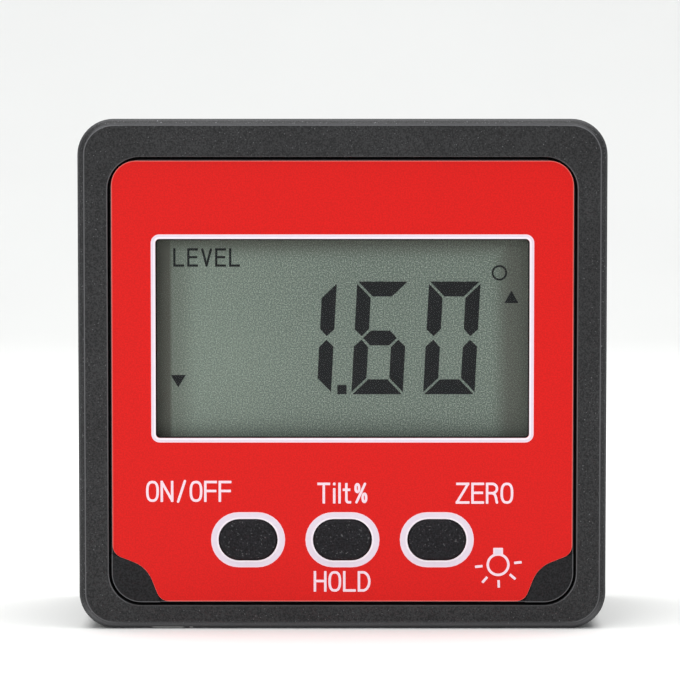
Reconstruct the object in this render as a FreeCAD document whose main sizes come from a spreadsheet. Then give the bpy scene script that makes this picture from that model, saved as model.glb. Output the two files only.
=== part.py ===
# Digital inclinometer: a small level box with a cast frame, a segment display on the front,
# three push buttons, magnets in the base and a battery compartment at the back.
# Millimetres. X runs to the right, Y runs from the front to the back, Z runs up.
# The origin is at the middle of the base, on the surface that the box stands on.
import FreeCAD, Part
import math
import os
import re
import Sketcher

os.makedirs("parts", exist_ok=True)
doc = FreeCAD.newDocument("digital_inclinometer")

# Driving dimensions: every size that can be set by itself.
SIZES = [
    ("case_height", 58.0, "height of the housing frame"),
    ("corner_radius", 4.1, "outer corner of the frame"),
    ("side_wall", 2.4, "frame wall at the sides, behind the rim"),
    ("top_wall", 2.6, "frame wall at the top, behind the rim"),
    ("base_wall", 2.7, "frame wall at the base"),
    ("rim_side", 3.4, "rim seen at each side of the label"),
    ("rim_top", 4.3, "rim seen above the label"),
    ("rim_step", 0.72, "shoulder round the front rim, across"),
    ("rim_rise", 0.12, "rim in front of its shoulder"),
    ("shoulder_bevel", 0.6, "bevel of the shoulder"),
    ("opening_radius", 3.7, "corner of the front opening"),
    ("edge_round", 0.1, "rounding of the frame's front edges"),
    ("back_round", 0.7, "rounding of the frame's back edge"),
    ("label_recess", 0.25, "label face behind the rim face"),
    ("label_thickness", 0.25, "label film"),
    ("label_inset", 0.1, "label edge inside the panel edge"),
    ("label_radius", 2.8, "upper corners of the label"),
    ("cut_run", 5.44, "where the corner cut meets the label edges"),
    ("cut_depth", 3.9, "corner cut along each edge at its middle"),
    ("cut_round", 3.6, "rounding at the middle of the corner cut"),
    ("cut_tip_round", 1.5, "rounding where the cut meets the edges"),
    ("cut_gap", 0.05, "gap between the label and the corner pads"),
    ("panel_thickness", 1.8, "front panel plate"),
    ("panel_gap", 0.33, "gap between the panel and the frame"),
    ("flange_reach", 0.8, "panel flange behind the rim"),
    ("flange_wall", 1.2, "wall of the panel flange"),
    ("flange_depth", 2.0, "depth of the panel flange"),
    ("window_width", 42.4, "display window, across"),
    ("window_rise", 11.62, "button row up to the window"),
    ("window_drop", 9.27, "frame opening's top down to the window"),
    ("window_radius", 0.5, "window corners"),
    ("lens_border", 1.9, "lens beyond the window"),
    ("lens_thickness", 1.0, "clear lens"),
    ("lens_gap", 0.1, "lens in its rebate"),
    ("display_gap", 0.1, "panel to the display"),
    ("film_thickness", 0.2, "polariser"),
    ("film_inset", 0.8, "polariser edge inside the glass"),
    ("glass_thickness", 0.7, "one display glass"),
    ("glass_border_side", 2.25, "glass beyond the window at each side"),
    ("glass_border_end", 2.2, "glass beyond the window above and below"),
    ("contact_ledge", 1.6, "front glass beyond the rear glass"),
    ("guide_thickness", 2.4, "light guide"),
    ("guide_side_room", 1.6, "room for the lamps beside the guide"),
    ("holder_floor", 0.6, "floor of the display holder"),
    ("holder_wall", 1.0, "wall of the display holder"),
    ("holder_gap", 0.2, "glass in the holder"),
    ("strip_thickness", 1.2, "rubber contact strip"),
    ("strip_gap", 0.1, "strip in its slot"),
    ("holder_room", 2.95, "display holder to the frame wall"),
    ("lamp_length", 3.0, "side lamp along the board"),
    ("lamp_width", 1.0, "side lamp across"),
    ("lamp_height", 1.8, "side lamp, deep"),
    ("lamp_gap", 0.1, "air round a lamp"),
    ("board_thickness", 1.6, "circuit board"),
    ("board_gap", 1.1, "board edge to the frame wall"),
    ("switch_side", 6.0, "switch body, square"),
    ("switch_height", 3.5, "switch body, deep"),
    ("plunger_radius", 1.7, "switch plunger"),
    ("plunger_gap", 0.06, "plunger in its bore"),
    ("plunger_hold", 0.5, "plunger inside its body at rest"),
    ("bore_room", 0.1, "bore beyond the pressed plunger"),
    ("button_travel", 0.3, "stroke of a button"),
    ("cap_width", 6.48, "button cap, across"),
    ("cap_height", 4.48, "button cap, up"),
    ("cap_gap", 0.13, "cap in its opening"),
    ("cap_proud", 0.2, "cap beyond the label"),
    ("cap_round", 0.25, "rounding of the cap's face"),
    ("cap_skirt", 0.8, "button flange beyond the cap"),
    ("skirt_thickness", 0.6, "button flange"),
    ("button_pitch", 10.74, "from one button to the next"),
    ("button_rise", 10.19, "button row above the base"),
    ("component_gap", 4.5, "circuit board to the battery tub"),
    ("parts_rise", 5.0, "chip, sensor and crystal above the case's middle"),
    ("chip_side", 7.0, "microcontroller body"),
    ("chip_height", 1.4, "microcontroller body, deep"),
    ("chip_lift", 0.1, "microcontroller body off the board"),
    ("lead_reach", 1.0, "microcontroller leads"),
    ("lead_width", 0.3, "one lead"),
    ("lead_pitch", 0.8, "lead to lead"),
    ("sensor_side", 4.0, "tilt sensor"),
    ("sensor_height", 1.3, "tilt sensor, deep"),
    ("sensor_offset", 16.0, "tilt sensor left of the middle"),
    ("crystal_radius", 1.0, "clock crystal can"),
    ("crystal_length", 6.0, "clock crystal can"),
    ("crystal_offset", 11.0, "clock crystal right of the middle"),
    ("crystal_foot", 1.5, "foot of the clock crystal"),
    ("chip_part_length", 2.0, "small part on the board, long"),
    ("chip_part_width", 1.25, "small part on the board, wide"),
    ("chip_part_height", 0.8, "small part on the board, deep"),
    ("chip_part_pitch", 2.6, "small part to small part"),
    ("row_offset", 12.0, "first small part left of the middle"),
    ("capacitor_drop", 14.0, "capacitors below the chip"),
    ("resistor_drop", 19.0, "resistors below the chip"),
    ("tub_wall", 1.6, "wall of the battery tub"),
    ("tub_floor", 1.2, "floor of the battery tub"),
    ("tub_gap", 1.05, "tub to the frame wall"),
    ("cell_diameter", 10.5, "small cylindrical cell"),
    ("cell_length", 44.5, "cell with its stud"),
    ("cell_edge", 0.6, "rounding of the cell's rims"),
    ("stud_radius", 1.9, "cell's positive stud"),
    ("stud_height", 1.0, "cell's positive stud"),
    ("cell_spacing", 0.5, "between the two cells"),
    ("cell_side_gap", 0.3, "cell to the tub's long walls"),
    ("cell_floor_gap", 0.2, "cell to the tub's floor"),
    ("cradle_gap", 0.15, "cell in its cradle"),
    ("cradle_height", 2.6, "cradle above the tub's floor"),
    ("cradle_width", 2.0, "one cradle rib"),
    ("cradle_pitch", 15.0, "rib to rib"),
    ("contact_thickness", 0.4, "contact plate"),
    ("contact_width", 8.4, "contact plate, up"),
    ("contact_depth", 9.0, "contact plate, front to back"),
    ("contact_lift", 0.4, "contact plate above the tub's floor"),
    ("tail_width", 2.0, "solder tail of a contact"),
    ("tail_gap", 0.2, "tail in its slot"),
    ("spring_length", 4.6, "contact spring as fitted"),
    ("spring_base_radius", 3.2, "wide end of the spring"),
    ("spring_tip_radius", 1.7, "narrow end of the spring"),
    ("spring_wire_radius", 0.32, "spring wire"),
    ("spring_turns", 4, "turns of the spring"),
    ("door_gap", 1.2, "cells to the door"),
    ("door_thickness", 1.5, "battery door and cover plate"),
    ("door_land", 0.9, "door on the tub's edge"),
    ("door_clearance", 0.15, "door in its opening"),
    ("door_recess", 0.1, "door and cover inside the frame's back edge"),
    ("cover_rim", 1.3, "frame wall round the cover plate"),
    ("cover_gap", 0.15, "cover plate in the frame"),
    ("tongue_width", 5.0, "door tongue"),
    ("tongue_reach", 1.3, "door tongue behind the cover"),
    ("tongue_thickness", 0.9, "door tongue"),
    ("tongue_spacing", 30.0, "from one tongue to the other"),
    ("tongue_room", 0.3, "air round a tongue"),
    ("latch_width", 7.0, "latch of the door"),
    ("latch_depth", 2.6, "latch, front to back"),
    ("latch_thickness", 0.9, "latch arm"),
    ("latch_lip", 0.35, "latch lip under the cover"),
    ("latch_lip_depth", 0.7, "latch lip, front to back"),
    ("latch_room", 0.3, "air round the latch"),
    ("rib_width", 1.0, "door rib"),
    ("rib_spacing", 26.0, "door rib to door rib"),
    ("rib_gap", 0.35, "door rib to the cells"),
    ("grip_width", 9.0, "thumb grooves of the door"),
    ("grip_height", 0.7, "one thumb groove"),
    ("grip_rise", 2.6, "first groove above the door's lower edge"),
    ("grip_pitch", 1.5, "groove to groove"),
    ("grip_depth", 0.45, "thumb groove"),
    ("screw_inset", 6.8, "cover screws from the case's sides"),
    ("screw_radius", 1.0, "cover screw shank"),
    ("screw_length", 16.0, "cover screw"),
    ("screw_head_radius", 1.9, "cover screw head"),
    ("screw_head_height", 0.95, "cover screw head"),
    ("screw_slot", 0.5, "cross slot in a head"),
    ("cross_reach", 0.55, "cross slot, as a share of the head's radius"),
    ("cross_depth", 0.6, "cross slot, as a share of the head's height"),
    ("screw_clearance", 0.25, "shank in the frame's hole"),
    ("head_gap", 0.05, "screw head in its countersink"),
    ("thread_gap", 0.02, "shank in its thread"),
    ("thread_room", 0.5, "thread beyond the screw's tip"),
    ("boss_wall", 1.9, "frame boss round the screw hole"),
    ("boss_depth", 8.4, "frame boss, front to back"),
    ("post_radius", 2.4, "panel post for a cover screw"),
    ("post_room", 0.5, "board clear of a post"),
    ("board_post_radius", 2.1, "panel post for the board"),
    ("board_post_side", 17.6, "board posts from the middle"),
    ("board_post_inset", 7.2, "board posts from base and top"),
    ("board_screw_radius", 0.8, "board screw shank"),
    ("board_hole_gap", 0.15, "shank in the board's hole"),
    ("board_screw_length", 5.0, "board screw shank"),
    ("board_screw_head", 1.6, "board screw head radius"),
    ("board_screw_head_height", 1.1, "board screw head"),
    ("magnet_radius", 4.0, "base magnet"),
    ("magnet_thickness", 1.9, "base magnet"),
    ("magnet_gap", 0.08, "magnet in its pocket"),
    ("magnet_recess", 0.1, "magnet above the base face"),
    ("magnet_pitch", 14.0, "magnet to magnet"),
]
sheet = doc.addObject("Spreadsheet::Sheet", "sizes")
for row, (alias, value, note) in enumerate(SIZES, 1):
    sheet.set(f"A{row}", note)
    sheet.set(f"B{row}", str(value))
    sheet.setAlias(f"B{row}", alias)
doc.recompute()

# Places that follow from the sizes. The Y places are a stack from the front face to the back,
# so the case is as deep as what it holds. It is as wide as a cell and its spring need, or as
# wide as the display needs, whichever is more. The window fills the room above the buttons.
PLACES = [
    ("window_half", "window_width / 2"),
    ("glass_half", "window_half + glass_border_side"),
    ("holder_half", "glass_half + holder_gap + holder_wall"),
    ("tub_length", "cell_length + spring_length + 2 * contact_thickness"),
    ("tub_height", "2 * cell_diameter + cell_spacing + 2 * cell_side_gap"),
    ("case_width", "max(tub_length + 2 * (tub_wall + tub_gap + side_wall);"
                   " 2 * (holder_half + holder_room + side_wall))"),
    ("case_depth", "label_recess + label_thickness + panel_thickness + display_gap + 2 * film_thickness"
                   " + 2 * glass_thickness + guide_thickness + holder_floor + board_thickness"
                   " + component_gap + tub_floor + cell_floor_gap + cell_diameter + door_gap"
                   " + door_thickness + door_recess"),
    ("front_face", "-case_depth / 2"),
    ("back_face", "case_depth / 2"),
    ("label_front", "front_face + label_recess"),
    ("panel_front", "label_front + label_thickness"),
    ("panel_back", "panel_front + panel_thickness"),
    ("film_front", "panel_back + display_gap"),
    ("glass_front", "film_front + film_thickness"),
    ("glass_middle", "glass_front + glass_thickness"),
    ("glass_back", "glass_middle + glass_thickness"),
    ("guide_front", "glass_back + film_thickness"),
    ("guide_back", "guide_front + guide_thickness"),
    ("board_front", "guide_back + holder_floor"),
    ("board_back", "board_front + board_thickness"),
    ("tub_front", "board_back + component_gap"),
    ("tub_floor_back", "tub_front + tub_floor"),
    ("cell_middle", "tub_floor_back + cell_floor_gap + cell_diameter / 2"),
    ("cell_back", "cell_middle + cell_diameter / 2"),
    ("door_inner", "cell_back + door_gap"),
    ("door_outer", "door_inner + door_thickness"),
    ("half_case", "case_width / 2"),
    ("middle_height", "case_height / 2"),
    ("cavity_half", "half_case - side_wall"),
    ("cavity_top", "case_height - top_wall"),
    ("opening_half", "half_case - rim_side"),
    ("opening_top", "case_height - rim_top"),
    ("panel_half", "opening_half - panel_gap"),
    ("panel_low", "base_wall + panel_gap"),
    ("panel_high", "opening_top - panel_gap"),
    ("label_half", "panel_half - label_inset"),
    ("label_low", "panel_low + label_inset"),
    ("label_high", "panel_high - label_inset"),
    ("window_high", "opening_top - window_drop"),
    ("window_low", "button_rise + window_rise"),
    ("window_height", "window_high - window_low"),
    ("glass_high", "window_high + glass_border_end"),
    ("glass_low", "window_low - glass_border_end"),
    ("ledge_low", "glass_low - contact_ledge"),
    ("holder_high", "glass_high + holder_gap + holder_wall"),
    ("holder_low", "ledge_low - holder_gap - holder_wall"),
    ("guide_half", "glass_half - guide_side_room"),
    ("switch_front", "board_front - switch_height"),
    ("skirt_back", "panel_back + skirt_thickness"),
    ("board_half", "cavity_half - board_gap"),
    ("board_low", "base_wall + board_gap"),
    ("board_high", "cavity_top - board_gap"),
    ("tub_inner_half", "tub_length / 2"),
    ("tub_outer_half", "tub_inner_half + tub_wall"),
    ("tub_inner_low", "middle_height - tub_height / 2"),
    ("tub_inner_high", "middle_height + tub_height / 2"),
    ("tub_outer_low", "tub_inner_low - tub_wall"),
    ("tub_outer_high", "tub_inner_high + tub_wall"),
    ("cell_offset", "(cell_diameter + cell_spacing) / 2"),
    ("contact_plane", "tub_inner_half - contact_thickness"),
    ("contact_front", "tub_floor_back + contact_lift"),
    ("opening_low_edge", "tub_inner_low - door_land - door_clearance"),
    ("opening_high_edge", "tub_inner_high + door_land + door_clearance"),
    ("opening_side", "tub_inner_half + door_land + door_clearance"),
    ("door_low", "opening_low_edge + door_clearance"),
    ("door_high", "opening_high_edge - door_clearance"),
    ("door_half", "opening_side - door_clearance"),
    ("hinge_depth", "door_outer - door_thickness / 2"),
    ("hinge_height", "door_high - door_thickness / 2"),
    ("cover_half", "half_case - cover_rim - cover_gap"),
    ("cover_low", "cover_rim + cover_gap"),
    ("cover_high", "case_height - cover_rim - cover_gap"),
    ("screw_side", "half_case - screw_inset"),
    ("screw_low", "screw_inset"),
    ("screw_high", "case_height - screw_inset"),
    ("boss_front", "door_inner - boss_depth"),
    ("boss_reach", "screw_radius + screw_clearance + boss_wall"),
]
places = doc.addObject("App::VarSet", "places")
known = {alias: "sizes." + alias for alias, value, note in SIZES}


def formula(text):
    """Write a formula's plain names as the document's cells and places."""
    return re.sub(r"[a-z_]+", lambda word: known.get(word.group(0), word.group(0)), str(text))


for name, text in PLACES:
    places.addProperty("App::PropertyFloat", name, "Places")
    places.setExpression(name, formula(text))
    known[name] = "places." + name
doc.recompute()


def number(text):
    """The present value of a formula."""
    return float(sheet.evalExpression(formula(text)))


def bind(item, path, text):
    """Tie one property of an object to a formula."""
    item.setExpression(path, formula(text))


pieces = []


def keep(item, label):
    """Name a finished sub-part and put it on the list of pieces."""
    item.Label = label
    pieces.append(item)


# Sketches lie in one of three planes. In a front sketch the two directions are X and Z, in a
# plan sketch X and Y, and in a side sketch Y and Z.
PLANES = {"front": ("XZ_Plane", -1), "plan": ("XY_Plane", 1), "side": ("YZ_Plane", 1)}

# Two places nearer than this, in millimetres, count as the same.
CLOSE = 0.01


def sketch(body, view, level):
    """Start a sketch in a view, at a level along the direction that the view looks along."""
    role, sense = PLANES[view]
    plane = next(item for item in body.Origin.OriginFeatures if item.Role == role)
    drawing = body.newObject("Sketcher::SketchObject", body.Name + "_" + view)
    drawing.AttachmentSupport = [(plane, "")]
    drawing.MapMode = "FlatFace"
    bind(drawing, "AttachmentOffset.Base.z", f"{sense} * ({level})")
    return drawing


def fix(drawing, kind, places_named, text):
    """Add a dimension whose value follows a formula."""
    index = drawing.addConstraint(Sketcher.Constraint(kind, *places_named, number(text)))
    drawing.setExpression(f"Constraints[{index}]", formula(text))


def polygon(drawing, corners):
    """Draw a closed outline of straight lines through corners, each a pair of formulas."""
    first = drawing.GeometryCount
    points = [FreeCAD.Vector(number(across), number(up), 0) for across, up in corners]
    count = len(points)
    for index, point in enumerate(points):
        drawing.addGeometry(Part.LineSegment(point, points[(index + 1) % count]))
    for index, (across, up) in enumerate(corners):
        following = first + (index + 1) % count
        drawing.addConstraint(Sketcher.Constraint("Coincident", first + index, 2, following, 1))
        fix(drawing, "DistanceX", (-1, 1, first + index, 1), across)
        fix(drawing, "DistanceY", (-1, 1, first + index, 1), up)


def rectangle(drawing, left, right, low, high, radius=None):
    """Draw a rectangle, with rounded corners where a radius is given."""
    if radius is None:
        polygon(drawing, [(left, low), (right, low), (right, high), (left, high)])
        return
    x0, x1, y0, y1, r = (number(text) for text in (left, right, low, high, radius))
    line = [((x0 + r, y0), (x1 - r, y0)), ((x1, y0 + r), (x1, y1 - r)),
            ((x1 - r, y1), (x0 + r, y1)), ((x0, y1 - r), (x0, y0 + r))]
    centre = [(x1 - r, y0 + r), (x1 - r, y1 - r), (x0 + r, y1 - r), (x0 + r, y0 + r)]
    first = drawing.GeometryCount
    for index in range(4):
        start, end = (FreeCAD.Vector(*point, 0) for point in line[index])
        drawing.addGeometry(Part.LineSegment(start, end))
        circle_part = Part.Circle(FreeCAD.Vector(*centre[index], 0), FreeCAD.Vector(0, 0, 1), r)
        turn = (index - 1) * math.pi / 2
        drawing.addGeometry(Part.ArcOfCircle(circle_part, turn, turn + math.pi / 2))
    for index in range(4):
        straight = first + 2 * index
        following = first + (2 * index + 2) % 8
        drawing.addConstraint(Sketcher.Constraint("Tangent", straight, 2, straight + 1, 1))
        drawing.addConstraint(Sketcher.Constraint("Tangent", straight + 1, 2, following, 1))
        drawing.addConstraint(Sketcher.Constraint("Vertical" if index % 2 else "Horizontal", straight))
        fix(drawing, "Radius", (straight + 1,), radius)
    fix(drawing, "DistanceY", (-1, 1, first, 1), low)
    fix(drawing, "DistanceX", (-1, 1, first + 2, 1), right)
    fix(drawing, "DistanceY", (-1, 1, first + 4, 1), high)
    fix(drawing, "DistanceX", (-1, 1, first + 6, 1), left)


def circle(drawing, across, up, radius):
    """Draw a circle."""
    middle = FreeCAD.Vector(number(across), number(up), 0)
    index = drawing.addGeometry(Part.Circle(middle, FreeCAD.Vector(0, 0, 1), number(radius)))
    fix(drawing, "Radius", (index,), radius)
    fix(drawing, "DistanceX", (-1, 1, index, 3), across)
    fix(drawing, "DistanceY", (-1, 1, index, 3), up)


def slot(drawing, across, up, width, height):
    """Draw a slot with round ends, lying along the first direction."""
    reach = f"({width}) / 2 - ({height}) / 2"
    x, y, half, r = number(across), number(up), number(reach), number(height) / 2
    first = drawing.GeometryCount
    drawing.addGeometry(Part.LineSegment(FreeCAD.Vector(x - half, y - r, 0),
                                         FreeCAD.Vector(x + half, y - r, 0)))
    right = Part.Circle(FreeCAD.Vector(x + half, y, 0), FreeCAD.Vector(0, 0, 1), r)
    drawing.addGeometry(Part.ArcOfCircle(right, -math.pi / 2, math.pi / 2))
    drawing.addGeometry(Part.LineSegment(FreeCAD.Vector(x + half, y + r, 0),
                                         FreeCAD.Vector(x - half, y + r, 0)))
    left = Part.Circle(FreeCAD.Vector(x - half, y, 0), FreeCAD.Vector(0, 0, 1), r)
    drawing.addGeometry(Part.ArcOfCircle(left, math.pi / 2, 3 * math.pi / 2))
    for index in range(4):
        following = first + (index + 1) % 4
        drawing.addConstraint(Sketcher.Constraint("Tangent", first + index, 2, following, 1))
    drawing.addConstraint(Sketcher.Constraint("Horizontal", first))
    drawing.addConstraint(Sketcher.Constraint("Horizontal", first + 2))
    fix(drawing, "Radius", (first + 1,), f"({height}) / 2")
    fix(drawing, "DistanceX", (-1, 1, first + 1, 3), f"({across}) + {reach}")
    fix(drawing, "DistanceX", (-1, 1, first + 3, 3), f"({across}) - ({reach})")
    fix(drawing, "DistanceY", (-1, 1, first + 1, 3), up)


def extrude(body, kind, drawing, length, forward=True):
    """Pad or pocket a sketch; forward is along the axis that the sketch's view looks along."""
    feature = body.newObject("PartDesign::" + kind, drawing.Name + "_" + kind.lower())
    feature.Profile = drawing
    drawing.Visibility = False
    normal_is_forward = "front" not in drawing.Name
    feature.Reversed = (forward != normal_is_forward) != (kind == "Pocket")
    bind(feature, "Length", length)
    doc.recompute()
    return feature


def spin(body, drawing, axis):
    """Turn a sketch once round one of its own axes."""
    feature = body.newObject("PartDesign::Revolution", drawing.Name + "_turned")
    feature.Profile = drawing
    feature.ReferenceAxis = (drawing, [axis])
    doc.recompute()
    return feature


def soften(body, radius, wanted, kind="Fillet"):
    """Round or bevel every edge of a body that a test picks out."""
    base = body.Tip
    names = [f"Edge{index}" for index, edge in enumerate(base.Shape.Edges, 1) if wanted(edge)]
    feature = body.newObject("PartDesign::" + kind, f"{body.Name}_{kind.lower()}")
    feature.Base = (base, names)
    bind(feature, "Size" if kind == "Chamfer" else "Radius", radius)
    doc.recompute()
    return feature


def flat_at(edge, axis, level):
    """Whether an edge lies in the plane at a level across an axis."""
    box = edge.BoundBox
    low, high = {"x": (box.XMin, box.XMax), "y": (box.YMin, box.YMax), "z": (box.ZMin, box.ZMax)}[axis]
    return abs(low - level) < CLOSE and abs(high - level) < CLOSE


def runs_along(edge, axis):
    """Whether an edge is a straight line along an axis."""
    direction = {"x": FreeCAD.Vector(1, 0, 0), "y": FreeCAD.Vector(0, 1, 0), "z": FreeCAD.Vector(0, 0, 1)}[axis]
    if edge.Curve.TypeId != "Part::GeomLine":
        return False
    return abs(abs(edge.tangentAt(edge.FirstParameter).dot(direction)) - 1) < CLOSE


def new_body(name):
    """Start a sub-part as a body."""
    body = doc.addObject("PartDesign::Body", name)
    keep(body, name)
    return body


def block(name, x, y, z):
    """A box between pairs of formulas along X, Y and Z."""
    item = doc.addObject("Part::Box", name)
    for side, path, (low, high) in zip(("Length", "Width", "Height"), "xyz", (x, y, z)):
        bind(item, side, f"({high}) - ({low})")
        bind(item, "Placement.Base." + path, low)
    return item


def rod(name, across, along, up, radius, axis):
    """A cylinder along an axis; the entry for that axis is a pair of formulas."""
    item = doc.addObject("Part::Cylinder", name)
    turns = {"x": (FreeCAD.Vector(0, 1, 0), 90), "y": (FreeCAD.Vector(1, 0, 0), -90),
             "z": (FreeCAD.Vector(0, 0, 1), 0)}
    item.Placement = FreeCAD.Placement(FreeCAD.Vector(), FreeCAD.Rotation(*turns[axis]))
    bind(item, "Radius", radius)
    for path, entry in zip("xyz", (across, along, up)):
        if path == axis:
            bind(item, "Height", f"({entry[1]}) - ({entry[0]})")
            entry = entry[0]
        bind(item, "Placement.Base." + path, entry)
    return item


def join(name, items):
    """Fuse items that touch."""
    item = doc.addObject("Part::MultiFuse", name)
    item.Shapes = items
    return item


def mirror_sides():
    """The left side and the right side, as signs."""
    return (-1, 1)


def screw_places():
    """The four cover screws: number, place across and place up."""
    return [(1, "-screw_side", "screw_low"), (2, "screw_side", "screw_low"),
            (3, "-screw_side", "screw_high"), (4, "screw_side", "screw_high")]


def board_post_places():
    """The four board posts: number, place across and place up."""
    return [(1, "-board_post_side", "board_post_inset"), (2, "board_post_side", "board_post_inset"),
            (3, "-board_post_side", "case_height - board_post_inset"),
            (4, "board_post_side", "case_height - board_post_inset")]


def make_housing_frame():
    """The cast frame: a ring with a stepped rim in front, screw bosses and magnet pockets."""
    body = new_body("housing_frame")
    front, back, shoulder_level = number("front_face"), number("back_face"), number("front_face + rim_rise")
    bevel_end = number("front_face + rim_rise + shoulder_bevel")
    shoulder = sketch(body, "front", "front_face + rim_rise")
    rectangle(shoulder, "-half_case", "half_case", "0", "case_height", "corner_radius")
    extrude(body, "Pad", shoulder, "case_depth - rim_rise")
    soften(body, "back_round", lambda edge: flat_at(edge, "y", back))
    soften(body, "shoulder_bevel", lambda edge: flat_at(edge, "y", shoulder_level), "Chamfer")
    soften(body, "edge_round", lambda edge: flat_at(edge, "y", bevel_end))
    rim = sketch(body, "front", "front_face")
    rectangle(rim, "-half_case + rim_step", "half_case - rim_step", "rim_step", "case_height - rim_step",
              "corner_radius - rim_step")
    extrude(body, "Pad", rim, "rim_rise + shoulder_bevel")
    soften(body, "edge_round", lambda edge: flat_at(edge, "y", front))
    opening = sketch(body, "front", "front_face")
    rectangle(opening, "-opening_half", "opening_half", "base_wall", "opening_top", "opening_radius")
    extrude(body, "Pocket", opening, "case_depth")
    inner_low, inner_high, inner_half = number("base_wall"), number("opening_top"), number("opening_half")

    def inner_rim(edge):
        middle = edge.BoundBox.Center
        beside = abs(middle.x) < inner_half + CLOSE
        between = inner_low - CLOSE < middle.z < inner_high + CLOSE
        return flat_at(edge, "y", front) and beside and between

    soften(body, "edge_round", inner_rim)
    cavity = sketch(body, "front", "panel_back")
    rectangle(cavity, "-cavity_half", "cavity_half", "base_wall", "cavity_top",
              "opening_radius - rim_side + side_wall")
    extrude(body, "Pocket", cavity, "case_depth")
    seat = sketch(body, "front", "door_inner")
    rectangle(seat, "-half_case + cover_rim", "half_case - cover_rim", "cover_rim", "case_height - cover_rim",
              "corner_radius - cover_rim")
    extrude(body, "Pocket", seat, "case_depth")
    bosses = sketch(body, "front", "boss_front")
    for side in mirror_sides():
        inner = f"{side} * (screw_side - boss_reach)"
        outer = f"{side} * (cavity_half + side_wall / 2)"
        left, right = (inner, outer) if side > 0 else (outer, inner)
        rectangle(bosses, left, right, "base_wall / 2", "screw_low + boss_reach")
        rectangle(bosses, left, right, "screw_high - boss_reach", "cavity_top + top_wall / 2")
    extrude(body, "Pad", bosses, "boss_depth")
    inner_corner = number("screw_side - boss_reach")
    low_corner, high_corner = number("screw_low + boss_reach"), number("screw_high - boss_reach")

    def boss_corner(edge):
        middle = edge.BoundBox.Center
        at_height = min(abs(middle.z - low_corner), abs(middle.z - high_corner)) < CLOSE
        return runs_along(edge, "y") and abs(abs(middle.x) - inner_corner) < CLOSE and at_height

    soften(body, "boss_wall", boss_corner)
    holes = sketch(body, "front", "boss_front")
    for index, across, up in screw_places():
        circle(holes, across, up, "screw_radius + screw_clearance")
    extrude(body, "Pocket", holes, "boss_depth")
    pockets = sketch(body, "plan", "0")
    for step in (-1.5, -0.5, 0.5, 1.5):
        circle(pockets, f"{step} * magnet_pitch", "0", "magnet_radius + magnet_gap")
    extrude(body, "Pocket", pockets, "magnet_thickness + magnet_recess")


def label_outline(drawing, gap, reach):
    """The label's outline: square above, with both lower corners cut; reach widens its sides.

    gap moves the corner cuts away from the label, for what lies round it."""
    slope = "(cut_run - cut_depth) / cut_depth"
    shift = f"(({gap}) * sqrt(1 + ({slope}) ^ 2))"
    run = f"(cut_run - {shift})"
    depth = f"({run} / (1 + {slope}))"
    side = f"(label_half + {reach})"
    low = f"(label_low - {reach})"
    high = f"(label_high + {reach})"
    rise = f"(label_low + {run} + {reach} * {slope})"
    along = f"(label_half - {run} - {reach} * {slope})"
    polygon(drawing, [
        (f"-{side}", high), (f"-{side}", rise), (f"-(label_half - {depth})", f"label_low + {depth}"),
        (f"-{along}", low), (along, low), (f"label_half - {depth}", f"label_low + {depth}"),
        (side, rise), (side, high)])


def cut_middles(edge):
    """Whether an edge is at the middle of one of the two corner cuts."""
    middle = edge.BoundBox.Center
    away = abs(number("label_half") - abs(middle.x) - (middle.z - number("label_low")))
    near = 0.6 * number("cut_depth") < middle.z - number("label_low") < 1.1 * number("cut_depth")
    return runs_along(edge, "y") and away < CLOSE and near


def make_front_panel():
    """The moulded panel: a plate with corner pads, a flange behind the rim, and posts."""
    body = new_body("front_panel")
    plate = sketch(body, "front", "label_front")
    rectangle(plate, "-panel_half", "panel_half", "panel_low", "panel_high", "opening_radius - panel_gap")
    extrude(body, "Pad", plate, "panel_back - label_front")
    recess = sketch(body, "front", "label_front")
    label_outline(recess, "cut_gap", "cut_tip_round")
    extrude(body, "Pocket", recess, "label_thickness")
    soften(body, "cut_round - cut_gap", cut_middles)
    flange = sketch(body, "front", "panel_back")
    outer = ("opening_half + flange_reach", "panel_low", "opening_top + flange_reach")
    rectangle(flange, "-(" + outer[0] + ")", outer[0], outer[1], outer[2], "opening_radius - panel_gap")
    inner = ("opening_half + flange_reach - flange_wall", "panel_low + flange_wall",
             "opening_top + flange_reach - flange_wall")
    rectangle(flange, "-(" + inner[0] + ")", inner[0], inner[1], inner[2], "opening_radius - flange_wall")
    extrude(body, "Pad", flange, "flange_depth")
    posts = sketch(body, "front", "panel_back")
    for index, across, up in screw_places():
        circle(posts, across, up, "post_radius")
    extrude(body, "Pad", posts, "boss_front - panel_back")
    board_posts = sketch(body, "front", "panel_back")
    for index, across, up in board_post_places():
        circle(board_posts, across, up, "board_post_radius")
    extrude(body, "Pad", board_posts, "board_front - panel_back")
    threads = sketch(body, "front", "boss_front")
    for index, across, up in screw_places():
        circle(threads, across, up, "screw_radius + thread_gap")
    extrude(body, "Pocket", threads, "screw_length - boss_depth - door_thickness + thread_room", forward=False)
    board_threads = sketch(body, "front", "board_front")
    for index, across, up in board_post_places():
        circle(board_threads, across, up, "board_screw_radius + thread_gap")
    extrude(body, "Pocket", board_threads, "board_screw_length - board_thickness + thread_room", forward=False)
    window = sketch(body, "front", "panel_front")
    rectangle(window, "-window_half", "window_half", "window_low", "window_high", "window_radius")
    for step in (-1, 0, 1):
        slot(window, f"{step} * button_pitch", "button_rise", "cap_width + 2 * cap_gap",
             "cap_height + 2 * cap_gap")
    extrude(body, "Pocket", window, "panel_thickness")
    rebate = sketch(body, "front", "panel_front")
    reach = "lens_border + lens_gap"
    rectangle(rebate, f"-(window_half + {reach})", f"window_half + {reach}", f"window_low - ({reach})",
              f"window_high + {reach}", "window_radius + lens_gap")
    extrude(body, "Pocket", rebate, "lens_thickness")


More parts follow.
